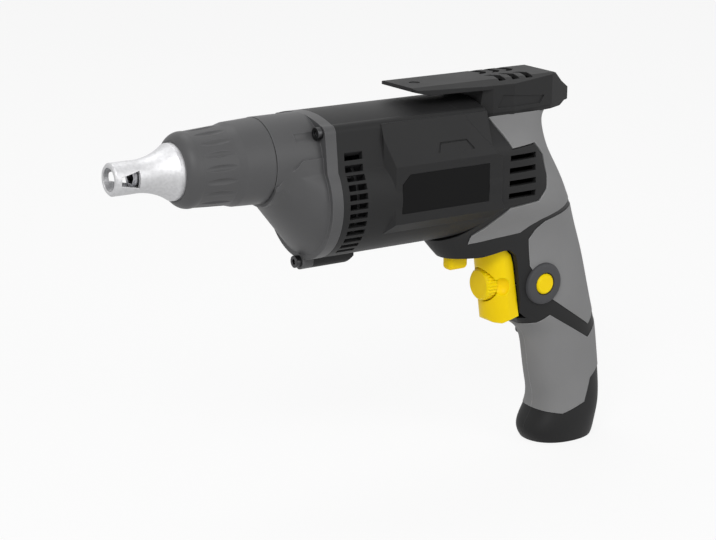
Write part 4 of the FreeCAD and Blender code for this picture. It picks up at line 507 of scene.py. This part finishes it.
def bezel():
    """Bevelled ring spun about the lock button's axis"""
    form = bmesh.new()
    x, z = BUTTON_PLACE
    verts = [form.verts.new((x + radius, -far, z)) for radius, far in BEZEL_PROFILE]
    edges = [form.edges.new((verts[k - 1], verts[k])) for k in range(len(verts))]
    bmesh.ops.spin(
        form, geom=verts + edges, cent=(x, 0, z), axis=(0, 1, 0), angle=2 * math.pi,
        steps=BEZEL_STEPS, use_merge=True)
    bmesh.ops.remove_doubles(form, verts=form.verts, dist=WELD)
    bmesh.ops.recalc_face_normals(form, faces=form.faces)
    return form


class SCREWDRIVER_OT_shell(bpy.types.Operator):
    """Grain the charcoal shell and the hook and paint the collar"""

    bl_idname = "screwdriver.shell"
    bl_label = "Shell, hook and collar"

    def execute(self, context):
        finish = context.scene.screwdriver_finish
        grain, edge = finish.grain, finish.edge
        dress(SHELL_NODES, moulded("charcoal_plastic", finish.shell, grain, edge))
        dress(HOOK_NODES, moulded("hook_plastic", finish.hook, grain, edge))
        dress(COLLAR_NODES, moulded("case_paint", finish.case, grain, edge))
        return {"FINISHED"}


class SCREWDRIVER_OT_scoop(bpy.types.Operator):
    """Trim the gear case to a round scoop that widens from the neck to the motor, and paint it"""

    bl_idname = "screwdriver.scoop"
    bl_label = "Gear case scoop"

    def execute(self, context):
        paint = bpy.data.materials["case_paint"]
        case = piece("gear_case", node_form("gear_housing"), paint, "housing")
        trim = piece("scoop_trim", scoop_trim(), paint, "housing")
        cut = case.modifiers.new("scoop", "BOOLEAN")
        cut.operation = "DIFFERENCE"
        cut.solver = "EXACT"
        cut.object = trim
        context.view_layer.update()
        ready = case.evaluated_get(context.evaluated_depsgraph_get())
        mesh = bpy.data.meshes.new_from_object(ready)
        for spent in (case, trim):
            bpy.data.objects.remove(spent)
        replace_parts(finished("gear_case", mesh, paint, "housing"), "gear_housing")
        return {"FINISHED"}


class SCREWDRIVER_OT_bezel(bpy.types.Operator):
    """Lay the bevelled ring round the lock button"""

    bl_idname = "screwdriver.bezel"
    bl_label = "Button bezel"

    def execute(self, context):
        plastic = bpy.data.materials["charcoal_plastic"]
        piece("button_bezel", bezel(), plastic, "housing")
        return {"FINISHED"}


class SCREWDRIVER_OT_grip(bpy.types.Operator):
    """Give the soft panels and the seals their matt rubber and lay in the two upper panels"""

    bl_idname = "screwdriver.grip"
    bl_label = "Soft grip"

    def execute(self, context):
        finish = context.scene.screwdriver_finish
        rubber = moulded("grey_rubber", finish.grip, finish.grain * RUBBER_GRAIN, finish.edge)
        dress(GRIP_NODES, rubber)
        for side, way in (("left", -1), ("right", 1)):
            panel = skin_panel("handle_" + side, way)
            piece("tang_grip_" + side, panel, rubber, "housing")
        black = moulded("black_rubber", finish.rubber, finish.grain, finish.edge)
        dress(BLACK_RUBBER_NODES, black)
        return {"FINISHED"}


class SCREWDRIVER_OT_controls(bpy.types.Operator):
    """Colour the trigger, speed dial, direction lever and lock button"""

    bl_idname = "screwdriver.controls"
    bl_label = "Controls"

    def execute(self, context):
        finish = context.scene.screwdriver_finish
        yellow = moulded("yellow_plastic", finish.control, finish.grain, finish.edge)
        dress(CONTROL_NODES, yellow)
        return {"FINISHED"}


class SCREWDRIVER_OT_metal(bpy.types.Operator):
    """Finish the cast nose and plate, the screws, the steel pieces and the bronze ones"""

    bl_idname = "screwdriver.metal"
    bl_label = "Metal pieces"

    def execute(self, context):
        finish = context.scene.screwdriver_finish
        grain, edge = finish.grain, finish.edge
        dress(CAST_NODES, metal("cast_alloy", finish.cast, grain * CAST_GRAIN, edge))
        dress(SCREW_NODES, metal("dark_steel", finish.screw, grain, edge))
        dress(STEEL_NODES, metal("bare_steel", finish.steel, grain, edge))
        dress(BRONZE_NODES, metal("bronze", finish.bronze, grain, edge))
        return {"FINISHED"}


class SCREWDRIVER_OT_springs(bpy.types.Operator):
    """Put a copy of each of the clutch, trigger and button springs in place of its node"""

    bl_idname = "screwdriver.springs"
    bl_label = "Springs"

    def execute(self, context):
        steel = bpy.data.materials["bare_steel"]
        for node, joint, way, fixed_end, left in SPRINGS:
            coil = piece(node + "_coil", node_form(node), steel, "housing")
            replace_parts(coil, node)
            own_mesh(coil)
        return {"FINISHED"}


class SCREWDRIVER_OT_motor(bpy.types.Operator):
    """Finish the windings, the laminated cores, the plastic inside and the glossy pieces"""

    bl_idname = "screwdriver.motor"
    bl_label = "Motor and electrical pieces"

    def execute(self, context):
        finish = context.scene.screwdriver_finish
        grain, edge = finish.grain, finish.edge
        dress(COPPER_NODES, metal("varnished_copper", finish.copper, grain, edge))
        dress(CORE_NODES, metal("laminated_iron", finish.core, grain, edge))
        dress(INNER_PLASTIC_NODES, moulded("inner_plastic", finish.inner, grain, edge))
        dress(GLOSS_NODES, moulded("label_gloss", finish.label, grain, edge * LABEL_EDGE))
        return {"FINISHED"}


def soft_light(name, place, target, size, strength):
    """Round area light that looks at a target"""
    data = bpy.data.lights.new(name, "AREA")
    data.shape = "DISK"
    data.size = size
    data.energy = strength
    lamp = bpy.data.objects.new(name, data)
    lamp.location = place
    lamp.rotation_euler = (Vector(target) - Vector(place)).to_track_quat("-Z", "Y").to_euler()
    bpy.context.scene.collection.objects.link(lamp)


def seen_directly(tree):
    """Socket that is one for camera, mirror and glass rays and zero for light on the object"""
    path = tree.nodes.new("ShaderNodeLightPath")
    share = path.outputs["Is Camera Ray"]
    for ray in ("Is Glossy Ray", "Is Transmission Ray"):
        either = tree.nodes.new("ShaderNodeMath")
        either.operation = "MAXIMUM"
        tree.links.new(share, either.inputs[0])
        tree.links.new(path.outputs[ray], either.inputs[1])
        share = either.outputs[0]
    return share


class SCREWDRIVER_OT_stage(bpy.types.Operator):
    """Add the floor, the white surround, the soft lights and the camera"""

    bl_idname = "screwdriver.stage"
    bl_label = "Stage"

    def execute(self, context):
        stage = context.scene.screwdriver_stage
        self.floor(stage)
        self.surround(context.scene, stage)
        low, high = CAD_BOX
        middle = (low + high) / 2
        for name, place, size, setting in LIGHTS:
            soft_light(name, place, middle, size, getattr(stage, setting))
        self.camera(context.scene)
        return {"FINISHED"}

    def floor(self, stage):
        height = CAD_BOX[0].z - stage.floor_drop
        bpy.ops.mesh.primitive_plane_add(size=stage.floor_size, location=(0, 0, height))
        floor = bpy.context.object
        floor.name = "floor"
        sheet = NodeSheet("floor_paint")
        sheet.shader.inputs["Base Color"].default_value = (*stage.floor, 1)
        sheet.shader.inputs["Roughness"].default_value = FLOOR_ROUGHNESS
        glow = sheet.add("ShaderNodeEmission")
        share = sheet.add("ShaderNodeMath", operation="MULTIPLY")
        share.inputs[1].default_value = FLOOR_GLOW
        sheet.join(seen_directly(sheet.tree), share.inputs[0])
        blend = sheet.add("ShaderNodeMixShader")
        sheet.join(share.outputs[0], blend.inputs[0])
        sheet.join(sheet.shader.outputs[0], blend.inputs[1])
        sheet.join(glow.outputs[0], blend.inputs[2])
        sheet.join(blend.outputs[0], sheet.output.inputs["Surface"])
        floor.data.materials.append(sheet.material)

    def surround(self, scene, stage):
        world = bpy.data.worlds.new("white_surround")
        scene.world = world
        world.use_nodes = True
        tree = world.node_tree
        back = tree.nodes["Background"]
        back.inputs["Color"].default_value = (1, 1, 1, 1)
        strength = tree.nodes.new("ShaderNodeMapRange")
        strength.inputs["To Min"].default_value = stage.ambient
        strength.inputs["To Max"].default_value = 1
        tree.links.new(seen_directly(tree), strength.inputs["Value"])
        tree.links.new(strength.outputs["Result"], back.inputs["Strength"])

    def camera(self, scene):
        data = bpy.data.cameras.new("camera")
        data.sensor_width = SENSOR_WIDTH_MM
        data.lens = FOCAL_LENGTH_PX / IMAGE_WIDTH_PX * SENSOR_WIDTH_MM
        camera = bpy.data.objects.new("camera", data)
        scene.collection.objects.link(camera)
        turn = math.radians(CAMERA_AZIMUTH)
        tilt = math.radians(CAMERA_ELEVATION)
        back = Vector((
            math.sin(turn) * math.cos(tilt), -math.cos(turn) * math.cos(tilt), math.sin(tilt)))
        level = back.to_track_quat("Z", "Y").to_matrix().to_4x4()
        roll = Matrix.Rotation(math.radians(CAMERA_ROLL), 4, "Z")
        camera.matrix_world = Matrix.Translation(CAMERA_PLACE) @ level @ roll
        scene.camera = camera
        scene.view_settings.view_transform = "Standard"


class SCREWDRIVER_PT_panel(bpy.types.Panel):
    """Lists the dressing steps and their settings"""

    bl_label = "Drywall Screwdriver"
    bl_idname = "SCREWDRIVER_PT_panel"
    bl_space_type = "VIEW_3D"
    bl_region_type = "UI"
    bl_category = "Screwdriver"

    def draw(self, context):
        layout = self.layout
        for step in STEPS:
            layout.operator(step.bl_idname)
        for group in (context.scene.screwdriver_finish, context.scene.screwdriver_stage):
            for key in group.__annotations__:
                layout.prop(group, key)


STEPS = (
    SCREWDRIVER_OT_shell, SCREWDRIVER_OT_scoop, SCREWDRIVER_OT_bezel, SCREWDRIVER_OT_grip,
    SCREWDRIVER_OT_controls, SCREWDRIVER_OT_metal, SCREWDRIVER_OT_springs, SCREWDRIVER_OT_motor,
    SCREWDRIVER_OT_stage,
)
CLASSES = (ScrewdriverFinish, ScrewdriverStage, *STEPS, SCREWDRIVER_PT_panel)


def register():
    for item in CLASSES:
        bpy.utils.register_class(item)
    bpy.types.Scene.screwdriver_finish = PointerProperty(type=ScrewdriverFinish)
    bpy.types.Scene.screwdriver_stage = PointerProperty(type=ScrewdriverStage)


def unregister():
    del bpy.types.Scene.screwdriver_stage
    del bpy.types.Scene.screwdriver_finish
    for item in reversed(CLASSES):
        bpy.utils.unregister_class(item)


def main():
    register()
    for step in STEPS:
        space, name = step.bl_idname.split(".")
        getattr(getattr(bpy.ops, space), name)()


if __name__ == "__main__":
    main()
